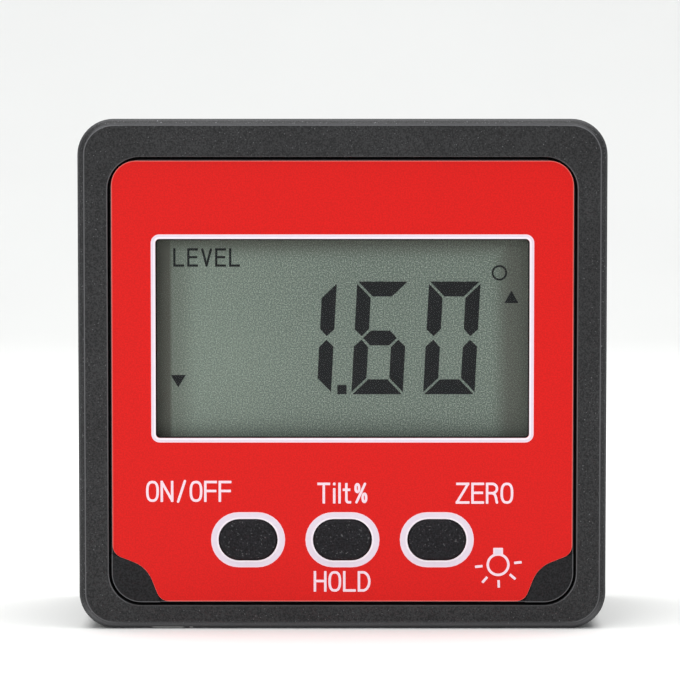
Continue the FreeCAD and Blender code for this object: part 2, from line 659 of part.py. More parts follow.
def make_face_label():
    """The printed front film, with openings for the window and the buttons."""
    body = new_body("face_label")
    film = sketch(body, "front", "label_front")
    label_outline(film, "0", "0")
    extrude(body, "Pad", film, "label_thickness")
    soften(body, "cut_round", cut_middles)
    half, low, high = number("label_half"), number("label_low"), number("label_high")
    run = number("cut_run")

    def upper_corner(edge):
        middle = edge.BoundBox.Center
        return runs_along(edge, "y") and abs(middle.z - high) < CLOSE

    def cut_tip(edge):
        middle = edge.BoundBox.Center
        at_side = abs(abs(middle.x) - half) < CLOSE and abs(middle.z - low - run) < CLOSE
        at_base = abs(middle.z - low) < CLOSE and abs(half - run - abs(middle.x)) < CLOSE
        return runs_along(edge, "y") and (at_side or at_base)

    soften(body, "label_radius", upper_corner)
    soften(body, "cut_tip_round", cut_tip)
    openings = sketch(body, "front", "label_front")
    rectangle(openings, "-window_half", "window_half", "window_low", "window_high", "window_radius")
    for step in (-1, 0, 1):
        slot(openings, f"{step} * button_pitch", "button_rise", "cap_width + 2 * cap_gap",
             "cap_height + 2 * cap_gap")
    extrude(body, "Pocket", openings, "label_thickness")


def make_window_lens():
    """The clear lens, seated in the panel's rebate behind the label."""
    body = new_body("window_lens")
    lens = sketch(body, "front", "panel_front")
    rectangle(lens, "-(window_half + lens_border)", "window_half + lens_border", "window_low - lens_border",
              "window_high + lens_border", "window_radius")
    extrude(body, "Pad", lens, "lens_thickness")


def make_display():
    """The display's glasses and polarisers, the light guide, its lamps and the contact strip."""
    across = ("-glass_half + film_inset", "glass_half - film_inset")
    film_up = ("glass_low + film_inset", "glass_high - film_inset")
    keep(block("front_film", across, ("film_front", "glass_front"), film_up), "display_front_polariser")
    keep(block("front_pane", ("-glass_half", "glass_half"), ("glass_front", "glass_middle"),
               ("ledge_low", "glass_high")), "display_front_glass")
    keep(block("rear_pane", ("-glass_half", "glass_half"), ("glass_middle", "glass_back"),
               ("glass_low", "glass_high")), "display_rear_glass")
    keep(block("rear_film", across, ("glass_back", "guide_front"), film_up), "display_rear_polariser")
    keep(block("guide", ("-guide_half", "guide_half"), ("guide_front", "guide_back"),
               ("glass_low", "glass_high")), "backlight_guide")
    for name, step in (("lower", -1), ("upper", 1)):
        middle = f"((glass_low + glass_high) / 2 + {step} * window_height / 4)"
        keep(block("lamp_" + name, ("guide_half + lamp_gap", "guide_half + lamp_gap + lamp_width"),
                   ("board_front - lamp_height", "board_front"),
                   (f"{middle} - lamp_length / 2", f"{middle} + lamp_length / 2")), "backlight_lamp_" + name)
    keep(block("strip", across, ("glass_middle", "board_front"),
               ("glass_low - strip_gap - strip_thickness", "glass_low - strip_gap")), "display_contact_strip")


def make_display_holder():
    """The open frame that carries the display between the panel and the board."""
    body = new_body("display_holder")
    outer = sketch(body, "front", "panel_back")
    rectangle(outer, "-holder_half", "holder_half", "holder_low", "holder_high", "holder_wall")
    extrude(body, "Pad", outer, "board_front - panel_back")
    inner = sketch(body, "front", "panel_back")
    rectangle(inner, "-glass_half - holder_gap", "glass_half + holder_gap", "ledge_low - holder_gap",
              "glass_high + holder_gap")
    extrude(body, "Pocket", inner, "guide_back - panel_back")
    slots = sketch(body, "front", "guide_back")
    rectangle(slots, "-glass_half", "glass_half", "ledge_low", "glass_low")
    for step in (-1, 1):
        middle = f"((glass_low + glass_high) / 2 + {step} * window_height / 4)"
        rectangle(slots, "guide_half", "guide_half + lamp_width + 2 * lamp_gap",
                  f"{middle} - lamp_length / 2 - lamp_gap", f"{middle} + lamp_length / 2 + lamp_gap")
    extrude(body, "Pocket", slots, "holder_floor")


BUTTONS = [("on_off", -1), ("hold", 0), ("zero", 1)]


def make_button(name, step):
    """A moulded button: a round-ended cap on a flange that stays behind the panel."""
    body = new_body("button_" + name)
    cap = sketch(body, "front", "label_front - cap_proud")
    slot(cap, f"{step} * button_pitch", "button_rise", "cap_width", "cap_height")
    extrude(body, "Pad", cap, "skirt_back - label_front + cap_proud")
    front = number("label_front - cap_proud")
    soften(body, "cap_round", lambda edge: flat_at(edge, "y", front))
    skirt = sketch(body, "front", "panel_back")
    slot(skirt, f"{step} * button_pitch", "button_rise", "cap_width + 2 * cap_skirt",
         "cap_height + 2 * cap_skirt")
    extrude(body, "Pad", skirt, "skirt_thickness")


def make_switch(name, step):
    """A tactile switch: a square body with a bored front and four legs, and its plunger."""
    across = f"({step} * button_pitch)"
    body = new_body("switch_body_" + name)
    case = sketch(body, "front", "switch_front")
    rectangle(case, f"{across} - switch_side / 2", f"{across} + switch_side / 2",
              "button_rise - switch_side / 2", "button_rise + switch_side / 2")
    extrude(body, "Pad", case, "switch_height")
    legs = sketch(body, "front", "board_front - contact_thickness")
    for side in mirror_sides():
        for end in mirror_sides():
            near = f"{across} + {side} * switch_side / 2"
            far = f"{across} + {side} * (switch_side / 2 + lead_reach)"
            left, right = (near, far) if side > 0 else (far, near)
            middle = f"(button_rise + {end} * switch_side / 3)"
            rectangle(legs, left, right, f"{middle} - lead_width", f"{middle} + lead_width")
    extrude(body, "Pad", legs, "contact_thickness")
    bore = sketch(body, "front", "switch_front")
    circle(bore, across, "button_rise", "plunger_radius + plunger_gap")
    extrude(body, "Pocket", bore, "plunger_hold + button_travel + bore_room")
    keep(rod("plunger_" + name, across, ("skirt_back", "switch_front + plunger_hold"), "button_rise",
             "plunger_radius", "y"), "switch_plunger_" + name)


def make_circuit_board():
    """The board: clear of the panel's long posts, with holes for its own screws."""
    body = new_body("circuit_board")
    plate = sketch(body, "front", "board_front")
    rectangle(plate, "-board_half", "board_half", "board_low", "board_high", "holder_wall")
    extrude(body, "Pad", plate, "board_thickness")
    notches = sketch(body, "front", "board_front")
    for side in mirror_sides():
        inner = f"{side} * (screw_side - post_radius - post_room)"
        outer = f"{side} * (board_half + post_room)"
        left, right = (inner, outer) if side > 0 else (outer, inner)
        rectangle(notches, left, right, "board_low - post_room", "screw_low + post_radius + post_room")
        rectangle(notches, left, right, "screw_high - post_radius - post_room", "board_high + post_room")
    for index, across, up in board_post_places():
        circle(notches, across, up, "board_screw_radius + board_hole_gap")
    extrude(body, "Pocket", notches, "board_thickness")


def make_board_parts():
    """What is soldered to the back of the board: chip, tilt sensor, crystal and small parts."""
    level = "middle_height + parts_rise"
    chip = block("chip_case", ("-chip_side / 2", "chip_side / 2"),
                 ("board_back + chip_lift", "board_back + chip_lift + chip_height"),
                 (f"{level} - chip_side / 2", f"{level} + chip_side / 2"))
    leads = []
    for place in range(-3, 4):
        middle = f"{place} * lead_pitch"
        pair = (f"{middle} - lead_width / 2", f"{middle} + lead_width / 2")
        reach = ("-chip_side / 2 - lead_reach", "chip_side / 2 + lead_reach")
        depth = ("board_back", "board_back + chip_lift + lead_width")
        leads.append(block(f"lead_across_{place + 4}", reach, depth,
                           tuple(f"{level} + {edge}" for edge in pair)))
        leads.append(block(f"lead_up_{place + 4}", pair, depth, tuple(f"{level} + {edge}" for edge in reach)))
    keep(join("chip", [chip] + leads), "microcontroller")
    keep(block("sensor", ("-sensor_offset - sensor_side / 2", "-sensor_offset + sensor_side / 2"),
               ("board_back", "board_back + sensor_height"),
               (f"{level} - sensor_side / 2", f"{level} + sensor_side / 2")), "tilt_sensor")
    can = rod("can", ("crystal_offset", "crystal_offset + crystal_length"), "board_back + crystal_radius",
              level, "crystal_radius", "x")
    foot = block("can_foot", ("crystal_offset - 2 / 3 * crystal_foot", "crystal_offset + crystal_foot / 3"),
                 ("board_back", "board_back + crystal_radius"),
                 (f"{level} - lead_width", f"{level} + lead_width"))
    keep(join("crystal", [can, foot]), "crystal_can")
    for name in ("capacitor", "resistor"):
        base = f"{level} - {name}_drop"
        row = []
        for place in range(5):
            left = f"{place} * chip_part_pitch - row_offset"
            row.append(block(f"{name}_{place + 1}", (left, f"{left} + chip_part_width"),
                             ("board_back", "board_back + chip_part_height"),
                             (base, f"{base} + chip_part_length")))
        rail = block(name + "_rail", ("-row_offset", "4 * chip_part_pitch + chip_part_width - row_offset"),
                     ("board_back", "board_back + lead_width"),
                     (f"{base} + chip_part_length / 3", f"{base} + chip_part_length / 2"))
        keep(join(name + "_row", row + [rail]), f"board_{name}s")


def make_screw(name, across, up, level, radius, length, head_radius, head_height, flat):
    """A screw along Y: a turned head and shank with a cross slot in the head."""
    body = new_body(name)
    profile = sketch(body, "plan", up)
    head = f"{level} - {head_height}"
    neck = f"{across} + {radius}"
    tip = f"{level} - {length}"
    rim = f"{level} - {head_height} / 4" if flat else head
    polygon(profile, [
        (across, level), (f"{across} + {head_radius}", level), (f"{across} + {head_radius}", rim), (neck, head),
        (neck, f"{tip} + {radius}"), (f"{across} + {radius} / 3", tip), (across, tip)])
    line = profile.addGeometry(Part.LineSegment(FreeCAD.Vector(number(across), 0, 0),
                                                FreeCAD.Vector(number(across), 1, 0)), True)
    profile.addConstraint(Sketcher.Constraint("Vertical", line))
    fix(profile, "DistanceX", (-1, 1, line, 1), across)
    fix(profile, "DistanceY", (-1, 1, line, 1), "0")
    fix(profile, "DistanceY", (line, 1, line, 2), "1")
    spin(body, profile, "Axis0")
    cross = sketch(body, "front", level)
    reach = f"({head_radius} * cross_reach)"
    rectangle(cross, f"{across} - {reach}", f"{across} + {reach}", f"{up} - screw_slot / 2",
              f"{up} + screw_slot / 2")
    extrude(body, "Pocket", cross, f"{head_height} * cross_depth", forward=False)
    upright = sketch(body, "front", level)
    rectangle(upright, f"{across} - screw_slot / 2", f"{across} + screw_slot / 2", f"{up} - {reach}",
              f"{up} + {reach}")
    extrude(body, "Pocket", upright, f"{head_height} * cross_depth", forward=False)


def make_rear_cover():
    """The moulded rear cover: a plate in the frame's back, carrying the battery tub."""
    body = new_body("rear_cover")
    plate = sketch(body, "front", "door_inner")
    rectangle(plate, "-cover_half", "cover_half", "cover_low", "cover_high",
              "corner_radius - cover_rim - cover_gap")
    extrude(body, "Pad", plate, "door_thickness")
    tub = sketch(body, "front", "tub_front")
    rectangle(tub, "-tub_outer_half", "tub_outer_half", "tub_outer_low", "tub_outer_high", "tub_wall")
    extrude(body, "Pad", tub, "door_inner - tub_front")
    opening = sketch(body, "front", "door_inner")
    rectangle(opening, "-opening_side", "opening_side", "opening_low_edge", "opening_high_edge")
    extrude(body, "Pocket", opening, "door_thickness")
    hollow = sketch(body, "front", "tub_floor_back")
    rectangle(hollow, "-tub_inner_half", "tub_inner_half", "tub_inner_low", "tub_inner_high")
    extrude(body, "Pocket", hollow, "case_depth")
    cradles = sketch(body, "front", "tub_floor_back")
    for step in (-1, 0, 1):
        middle = f"{step} * cradle_pitch"
        rectangle(cradles, f"{middle} - cradle_width / 2", f"{middle} + cradle_width / 2",
                  "tub_inner_low - tub_wall / 2", "tub_inner_high + tub_wall / 2")
    extrude(body, "Pad", cradles, "cradle_height")
    beds = sketch(body, "side", "-cradle_pitch - cradle_width")
    for step in mirror_sides():
        circle(beds, "cell_middle", f"middle_height + {step} * cell_offset", "cell_diameter / 2 + cradle_gap")
    extrude(body, "Pocket", beds, "2 * (cradle_pitch + cradle_width)")
    slots = sketch(body, "front", "tub_front")
    for step in mirror_sides():
        middle = f"(middle_height + {step} * cell_offset)"
        rectangle(slots, "contact_plane - tail_gap", "tub_inner_half", f"{middle} - tail_width / 2 - tail_gap",
                  f"{middle} + tail_width / 2 + tail_gap")
    extrude(body, "Pocket", slots, "tub_floor")
    notches = sketch(body, "front", "door_inner - tongue_thickness - tongue_room - tongue_reach")
    for step in mirror_sides():
        middle = f"({step} * tongue_spacing / 2)"
        reach = "tongue_width / 2 + tongue_room"
        rectangle(notches, f"{middle} - ({reach})", f"{middle} + {reach}", "tub_inner_high - tongue_room",
                  "hinge_height + door_thickness / 2 + tongue_reach + tongue_room")
    extrude(body, "Pocket", notches, "tongue_thickness + tongue_room + tongue_reach")
    hook = sketch(body, "front", "door_inner - latch_depth - latch_room")
    rectangle(hook, "-latch_width / 2 - latch_room", "latch_width / 2 + latch_room",
              "opening_low_edge - latch_lip - latch_room", "tub_inner_low + latch_room")
    extrude(body, "Pocket", hook, "latch_depth + latch_room")
    holes = sketch(body, "front", "door_inner")
    for index, across, up in screw_places():
        circle(holes, across, up, "screw_radius + screw_clearance")
    extrude(body, "Pocket", holes, "door_thickness")
    for index, across, up in screw_places():
        sink = sketch(body, "plan", up)
        edge = "screw_head_radius + head_gap"
        hole = "screw_radius + screw_clearance"
        share = f"({edge} - {hole}) / (screw_head_radius - screw_radius)"
        neck = f"door_outer - screw_head_height / 4 - 3 / 4 * screw_head_height * {share}"
        polygon(sink, [(across, "door_outer"), (f"{across} + {edge}", "door_outer"),
                       (f"{across} + {edge}", "door_outer - screw_head_height / 4"),
                       (f"{across} + {hole}", neck), (across, neck)])
        axis = sink.addGeometry(Part.LineSegment(FreeCAD.Vector(number(across), 0, 0),
                                                 FreeCAD.Vector(number(across), 1, 0)), True)
        sink.addConstraint(Sketcher.Constraint("Vertical", axis))
        fix(sink, "DistanceX", (-1, 1, axis, 1), across)
        fix(sink, "DistanceY", (-1, 1, axis, 1), "0")
        fix(sink, "DistanceY", (axis, 1, axis, 2), "1")
        groove = body.newObject("PartDesign::Groove", "countersink")
        groove.Profile = sink
        groove.ReferenceAxis = (sink, ["Axis0"])
        doc.recompute()


def make_battery_door():
    """The snap-in door: a plate that turns on its round upper edge, two tongues and a latch."""
    body = new_body("battery_door")
    profile = sketch(body, "side", "-door_half")
    polygon(profile, [("door_inner", "door_low"), ("door_outer", "door_low"), ("door_outer", "hinge_height"),
                      ("door_inner", "hinge_height")])
    extrude(body, "Pad", profile, "2 * door_half")
    edge = sketch(body, "side", "-door_half")
    circle(edge, "hinge_depth", "hinge_height", "door_thickness / 2")
    extrude(body, "Pad", edge, "2 * door_half")
    for side in mirror_sides():
        tongue = sketch(body, "side", f"{side} * tongue_spacing / 2 - tongue_width / 2")
        polygon(tongue, [("door_inner - tongue_thickness", "hinge_height - 3 * tongue_thickness"),
                         ("door_inner", "hinge_height - 3 * tongue_thickness"),
                         ("hinge_depth", "hinge_height - tongue_thickness"),
                         ("hinge_depth - door_thickness / 4", "hinge_height"),
                         ("door_inner - tongue_room / 3", "hinge_height + door_thickness / 2"),
                         ("door_inner - tongue_room / 3", "hinge_height + door_thickness / 2 + tongue_reach"),
                         ("door_inner - tongue_thickness", "hinge_height + door_thickness / 2 + tongue_reach")])
        extrude(body, "Pad", tongue, "tongue_width")
    latch = sketch(body, "side", "-latch_width / 2")
    polygon(latch, [("door_inner + door_thickness / 2", "door_low"),
                    ("door_inner - tongue_room / 3", "door_low"),
                    ("door_inner - tongue_room / 3", "opening_low_edge - latch_lip"),
                    ("door_inner - latch_lip_depth", "opening_low_edge - latch_lip"),
                    ("door_inner - latch_depth", "door_low"),
                    ("door_inner - latch_depth", "door_low + latch_thickness"),
                    ("door_inner + door_thickness / 2", "door_low + latch_thickness")])
    extrude(body, "Pad", latch, "latch_width")
    ribs = sketch(body, "front", "cell_back + rib_gap")
    for side in mirror_sides():
        middle = f"{side} * rib_spacing / 2"
        rectangle(ribs, f"{middle} - rib_width / 2", f"{middle} + rib_width / 2",
                  "tub_inner_low + 3 * rib_width", "tub_inner_high - 3 * rib_width")
    extrude(body, "Pad", ribs, "door_gap - rib_gap + door_thickness / 2")
    grip = sketch(body, "front", "door_outer")
    for step in range(3):
        slot(grip, "0", f"door_low + grip_rise + {step} * grip_pitch", "grip_width", "grip_height")
    extrude(body, "Pocket", grip, "grip_depth", forward=False)


CELLS = [("upper", 1), ("lower", -1)]


def make_cell(name, side):
    """A cell: a turned can with rounded rims, a stud at one end and a flat at the other."""
    body = new_body("battery_" + name)
    profile = sketch(body, "plan", f"middle_height + {side} * cell_offset")
    radius = "cell_diameter / 2"
    tip = f"{side} * contact_plane"
    shoulder = f"{side} * (contact_plane - stud_height)"
    base = f"{side} * (contact_plane - cell_length)"
    polygon(profile, [
        (tip, "cell_middle"), (tip, "cell_middle + stud_radius"), (shoulder, "cell_middle + stud_radius"),
        (shoulder, f"cell_middle + {radius} - cell_edge"),
        (f"{side} * (contact_plane - stud_height - cell_edge)", f"cell_middle + {radius}"),
        (f"{side} * (contact_plane - cell_length + cell_edge)", f"cell_middle + {radius}"),
        (base, f"cell_middle + {radius} - cell_edge"), (base, "cell_middle")])
    line = profile.addGeometry(Part.LineSegment(FreeCAD.Vector(0, number("cell_middle"), 0),
                                                FreeCAD.Vector(1, number("cell_middle"), 0)), True)
    profile.addConstraint(Sketcher.Constraint("Horizontal", line))
    fix(profile, "DistanceY", (-1, 1, line, 1), "cell_middle")
    fix(profile, "DistanceX", (-1, 1, line, 1), "0")
    fix(profile, "DistanceX", (line, 1, line, 2), "1")
    spin(body, profile, "Axis0")


def make_contacts():
    """The contact plates at the ends of the cells; two have a tail that reaches the board."""
    for name, side in CELLS:
        label = "terminal_positive" if side > 0 else "terminal_negative"
        middle = f"(middle_height + {side} * cell_offset)"
        plate = block(label + "_plate", ("contact_plane", "tub_inner_half"),
                      ("contact_front", "contact_front + contact_depth"),
                      (f"{middle} - contact_width / 2", f"{middle} + contact_width / 2"))
        tail = block(label + "_tail", ("contact_plane", "tub_inner_half"), ("board_back", "contact_front"),
                     (f"{middle} - tail_width / 2", f"{middle} + tail_width / 2"))
        keep(join(label + "_whole", [plate, tail]), label)
    reach = "(cell_offset + contact_width / 2)"
    keep(block("bridge", ("-tub_inner_half", "-contact_plane"),
               ("contact_front", "contact_front + contact_depth"),
               (f"middle_height - {reach}", f"middle_height + {reach}")), "terminal_bridge")


def make_spring(name, side):
    """A conical coil from its contact plate to the flat end of a cell."""
    steps = 12
    turns = int(number("spring_turns"))
    wire = number("spring_wire_radius")
    start = number("contact_plane")
    run = number("spring_length") - 2 * wire
    base_radius, tip_radius = number("spring_base_radius"), number("spring_tip_radius")
    up = number(f"middle_height + {side} * cell_offset")
    points = []
    for step in range(turns * steps + 1):
        share = step / (turns * steps)
        turn = 2 * math.pi * step / steps
        radius = base_radius + (tip_radius - base_radius) * share
        across = -side * (start - wire - run * share)
        points.append(FreeCAD.Vector(across, radius * math.cos(turn), radius * math.sin(turn)))
    path = Part.makePolygon(points)
    along = points[1] - points[0]
    outward = FreeCAD.Vector(0, 1, 0)
    beside = along.cross(outward).normalize()
    section = []
    for corner in range(9):
        turn = 2 * math.pi * corner / 8
        section.append(points[0] + outward * wire * math.cos(turn) + beside * wire * math.sin(turn))
    shell = Part.BRepOffsetAPI.MakePipeShell(path)
    shell.setFrenetMode(True)
    shell.setTransitionMode(1)
    shell.add(Part.makePolygon(section))
    shell.build()
    shell.makeSolid()
    item = doc.addObject("Part::Feature", "spring_" + name)
    item.Shape = shell.shape()
    item.Placement = FreeCAD.Placement(FreeCAD.Vector(0, number("cell_middle"), up), FreeCAD.Rotation())
    keep(item, "contact_spring_" + name)


def make_magnets():
    """Four disc magnets, pressed into the base just short of its face."""
    for index, step in enumerate((-1.5, -0.5, 0.5, 1.5), 1):
        depth = ("magnet_recess", "magnet_recess + magnet_thickness")
        keep(rod(f"magnet_{index}", f"{step} * magnet_pitch", "0", depth, "magnet_radius", "z"),
             f"base_magnet_{index}")


make_housing_frame()
make_front_panel()
make_face_label()
make_window_lens()
make_display()
make_display_holder()
for name, step in BUTTONS:
    make_button(name, step)
    make_switch(name, step)
make_circuit_board()
make_board_parts()
for index, across, up in board_post_places():
    make_screw(f"board_screw_{index}", across, up, "board_back + board_screw_head_height",
               "board_screw_radius", "board_screw_length + board_screw_head_height", "board_screw_head",
               "board_screw_head_height", False)
make_rear_cover()
make_battery_door()
for name, side in CELLS:
    make_cell(name, side)
    make_spring(name, side)
make_contacts()
for index, across, up in screw_places():
    make_screw(f"cover_screw_{index}", across, up, "door_outer", "screw_radius", "screw_length",
               "screw_head_radius", "screw_head_height", True)
make_magnets()

doc.recompute()
for item in doc.Objects:
    if "Invalid" in item.State or "Error" in item.State:
        raise RuntimeError(f"{item.Name} failed: {item.State}")
for item in pieces:
    if item.Shape.isNull() or not item.Shape.isValid():
        raise RuntimeError(f"{item.Label} has no valid shape")
for item in pieces:
    item.Shape.exportStep(f"parts/{item.Label}.step")
    print(item.Label, len(item.Shape.Solids), round(item.Shape.Volume, 2))
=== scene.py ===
import math

import bmesh
import bpy
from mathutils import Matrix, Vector


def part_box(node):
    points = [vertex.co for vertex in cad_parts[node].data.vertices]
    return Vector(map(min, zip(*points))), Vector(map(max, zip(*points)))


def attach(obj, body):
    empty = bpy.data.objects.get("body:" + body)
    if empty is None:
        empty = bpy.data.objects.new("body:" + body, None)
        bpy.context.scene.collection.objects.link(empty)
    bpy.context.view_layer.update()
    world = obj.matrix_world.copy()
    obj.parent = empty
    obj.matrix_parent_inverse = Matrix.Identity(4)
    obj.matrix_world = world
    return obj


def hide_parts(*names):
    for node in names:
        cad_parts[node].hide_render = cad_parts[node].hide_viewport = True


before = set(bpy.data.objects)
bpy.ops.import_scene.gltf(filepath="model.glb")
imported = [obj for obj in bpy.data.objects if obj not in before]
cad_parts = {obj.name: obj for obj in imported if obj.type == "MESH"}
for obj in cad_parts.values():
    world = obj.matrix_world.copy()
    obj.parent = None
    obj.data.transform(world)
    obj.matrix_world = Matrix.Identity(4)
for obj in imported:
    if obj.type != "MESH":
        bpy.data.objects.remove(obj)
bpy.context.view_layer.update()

# Housing frame: one light-alloy casting with a stepped front rim, ground on its base.
# It is coated all over with a fine-grained black powder that leaves small light specks.
# Its edges carry thin painted highlights, and its lower bevel a painted reflection of the floor.
mm = 0.001


def tint(red, green, blue):
    """A colour as it is read off a screen, 0 to 255, in the linear values that a shader takes."""
    shares = (level / 255 for level in (red, green, blue))
    return tuple(share / 12.92 if share < 0.04 else ((share + 0.055) / 1.055) ** 2.4 for share in shares)


class Shade:
    """A value that varies over a surface; sums and products of it add the Math nodes they need."""

    def __init__(self, finish, socket):
        self.finish = finish
        self.socket = socket

    def result(self, operation, first, second):
        return self.finish.node("ShaderNodeMath", {"operation": operation}, {0: first, 1: second})

    def __add__(self, other):
        return self.result("ADD", self, other)

    def __radd__(self, other):
        return self.result("ADD", other, self)

    def __sub__(self, other):
        return self.result("SUBTRACT", self, other)

    def __rsub__(self, other):
        return self.result("SUBTRACT", other, self)

    def __mul__(self, other):
        return self.result("MULTIPLY", self, other)

    def __rmul__(self, other):
        return self.result("MULTIPLY", other, self)

    def __mod__(self, other):
        return self.result("FLOORED_MODULO", self, other)

    def __abs__(self):
        return self.result("ABSOLUTE", self, 0.0)

    def __pow__(self, other):
        return self.result("POWER", self, other)

    def __or__(self, other):
        return self.result("MAXIMUM", self, other)

    def __ror__(self, other):
        return self.result("MAXIMUM", other, self)


class Finish:
    """A surface finish: its material, its shader and the nodes that feed it."""

    def __init__(self, name, fixed):
        self.material = bpy.data.materials.new(name)
        self.material.use_nodes = True
        self.tree = self.material.node_tree
        self.shader = self.tree.nodes["Principled BSDF"]
        self.place = self.node("ShaderNodeTexCoord", output="Object")
        for socket, value in fixed.items():
            self.give(socket, value)

    def node(self, kind, settings=None, inputs=None, output=0):
        """Add a node: its settings first, then what its sockets hold or are linked to."""
        made = self.tree.nodes.new(kind)
        for name, value in (settings or {}).items():
            setattr(made, name, value)
        for name, value in (inputs or {}).items():
            self.feed(made.inputs[name], value)
        return Shade(self, made.outputs[output])

    def feed(self, socket, value):
        """Link a varying value to a socket, or set a plain one on it."""
        if isinstance(value, Shade):
            self.tree.links.new(value.socket, socket)
        elif socket.type == "RGBA":
            socket.default_value = (*value, 1.0)
        else:
            socket.default_value = value

    def give(self, name, value):
        """Feed one of the shader's own sockets."""
        self.feed(self.shader.inputs[name], value)

    def axis(self, index):
        """The place along X, Y or Z, in millimetres."""
        return self.node("ShaderNodeSeparateXYZ", {}, {0: self.place}, output=index) * (1 / mm)

    def facing(self, index):
        """How far the surface faces along X, Y or Z."""
        normal = self.node("ShaderNodeNewGeometry", output="Normal")
        return self.node("ShaderNodeSeparateXYZ", {}, {0: normal}, output=index)

    def noise(self, grain, detail=2.0):
        """Cloudy noise with lumps about one grain across, in millimetres."""
        return self.node("ShaderNodeTexNoise", {},
                         {"Vector": self.place, "Scale": 1 / (grain * mm), "Detail": detail})

    def ramp(self, value, low, high, start=0.0, end=1.0):
        """A soft step from one value to another as a shade passes from low to high."""
        return self.node("ShaderNodeMapRange", {"interpolation_type": "SMOOTHSTEP"},
                         {"Value": value, "From Min": low, "From Max": high, "To Min": start, "To Max": end})

    def blend(self, share, first, second):
        """Two colours mixed, from the first to the second as the share goes from 0 to 1."""
        return self.node("ShaderNodeMix", {"data_type": "RGBA"}, {0: share, 6: first, 7: second}, output=2)

    def relief(self, height, depth, strength):
        """A small relief whose full height is given in millimetres."""
        bump = self.node("ShaderNodeBump", {},
                         {"Height": height, "Strength": strength, "Distance": depth * mm})
        self.give("Normal", bump)

    def mirror_share(self, index):
        """How much the outer side of a clear pane mirrors."""
        within = self.node("ShaderNodeNewGeometry", output="Backfacing")
        return (1 - within) * self.node("ShaderNodeFresnel", {}, {"IOR": index})

    def rim_distance(self, node, margin, radius):
        """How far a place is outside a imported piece's rounded outline, moved out by a margin."""
        low, high = (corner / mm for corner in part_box(node))
        half_height = (high.z - low.z) / 2 + margin
        beyond_x = abs(self.axis(0)) - (high.x + margin - radius) | 0.0
        beyond_z = abs(self.axis(2) - (low.z + high.z) / 2) - (half_height - radius) | 0.0
        return (beyond_x ** 2.0 + beyond_z ** 2.0) ** 0.5 - radius

    def line(self, distance, middle, half_width):
        """A thin soft line where a distance has a given value."""
        return self.ramp(abs(distance - middle), 0.6 * half_width, 1.4 * half_width, 1.0, 0.0)

    def see_through(self, share):
        """Let the surface show only by a share; the rest is clear."""
        clear = self.node("ShaderNodeBsdfTransparent", {}, {"Color": (1.0, 1.0, 1.0)})
        surface = Shade(self, self.shader.outputs[0])
        mixed = self.node("ShaderNodeMixShader", {}, {0: share, 1: clear, 2: surface})
        self.tree.links.new(mixed.socket, self.tree.nodes["Material Output"].inputs["Surface"])


def dress(node, finish, edge=0.0, edge_finish=None):
    """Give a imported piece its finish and, where it is sharp, a small rounded edge in millimetres."""
    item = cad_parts[node]
    item.data.materials.clear()
    item.data.materials.append(finish.material)
    if edge:
        weld = item.modifiers.new("weld", "WELD")
        weld.merge_threshold = 0.0005 * mm
        rounding = item.modifiers.new("rounding", "BEVEL")
        rounding.width = edge * mm
        rounding.segments = 2
        rounding.limit_method = "ANGLE"
        rounding.angle_limit = math.radians(40)
        rounding.harden_normals = True
        if edge_finish:
            item.data.materials.append(edge_finish.material)
            rounding.material = 1


coat = Finish("powder_coat", {"Specular IOR Level": 0.3})
grain = coat.noise(0.17, 3.0)
specks = coat.ramp(coat.noise(0.2, 1.0), 0.67, 0.76)
drift = coat.ramp(coat.noise(6.0), 0.3, 0.7)
ground_base = coat.ramp(0.0 - coat.facing(2), 0.9, 0.98)
dull = coat.blend(drift, tint(19, 19, 20), tint(23, 23, 24))
bright = coat.blend(drift, tint(48, 48, 49), tint(54, 54, 55))
body_colour = coat.blend(coat.ramp(grain, 0.34, 0.66), dull, bright)
body_colour = coat.blend(specks * 0.8, body_colour, tint(120, 120, 123))
frame_low, frame_high = (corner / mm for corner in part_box("housing_frame"))
front_face = frame_low.y
frame_round, opening_round = 4.1, 3.7
panel_margin = 0.1
opening_margin = panel_margin + 0.33
bevel_middle = -0.13
outside = coat.rim_distance("housing_frame", 0.0, frame_round)
opening = coat.rim_distance("face_label", opening_margin, opening_round)
across, depth, rise = coat.axis(0), coat.axis(1), coat.axis(2)
at_sides = coat.ramp(abs(across), frame_high.x - 6.5, frame_high.x - 3.0)
at_top = coat.ramp(rise, frame_high.z - 2.5, frame_high.z - 1.0)
at_foot = coat.ramp(rise, 1.0, 4.0, 1.0, 0.0)
# Painted highlights: thin pale lines along the rim's outer edge at the sides and top, and round the opening,
# on the front only, where the rounded edges catch the light.
painted_edge_light = coat.line(outside, -0.75, 0.075) * at_sides | coat.line(outside, -0.67, 0.09) * at_top
painted_edge_light = painted_edge_light | coat.line(opening, 0.04, 0.06) * (0.25 + 0.75 * at_sides)
painted_edge_light = painted_edge_light * coat.ramp(depth, front_face + 0.1, front_face + 0.2, 0.9, 0.0)
# Painted reflection of the bright floor: the lower bevel near the foot is made paler. A faint painted
# highlight also runs along the middle of the outer edge all round.
painted_floor_reflection = coat.ramp(outside, -1.0, -0.42) * coat.ramp(outside, -0.37, -0.28, 1.0, 0.6) * at_foot
on_bevel = coat.ramp(depth, front_face + 0.8, front_face + 1.0, 1.0, 0.0)
painted_edge_light = painted_edge_light | (painted_floor_reflection * 0.75 | coat.line(outside, bevel_middle, 0.09) * 0.3) * on_bevel
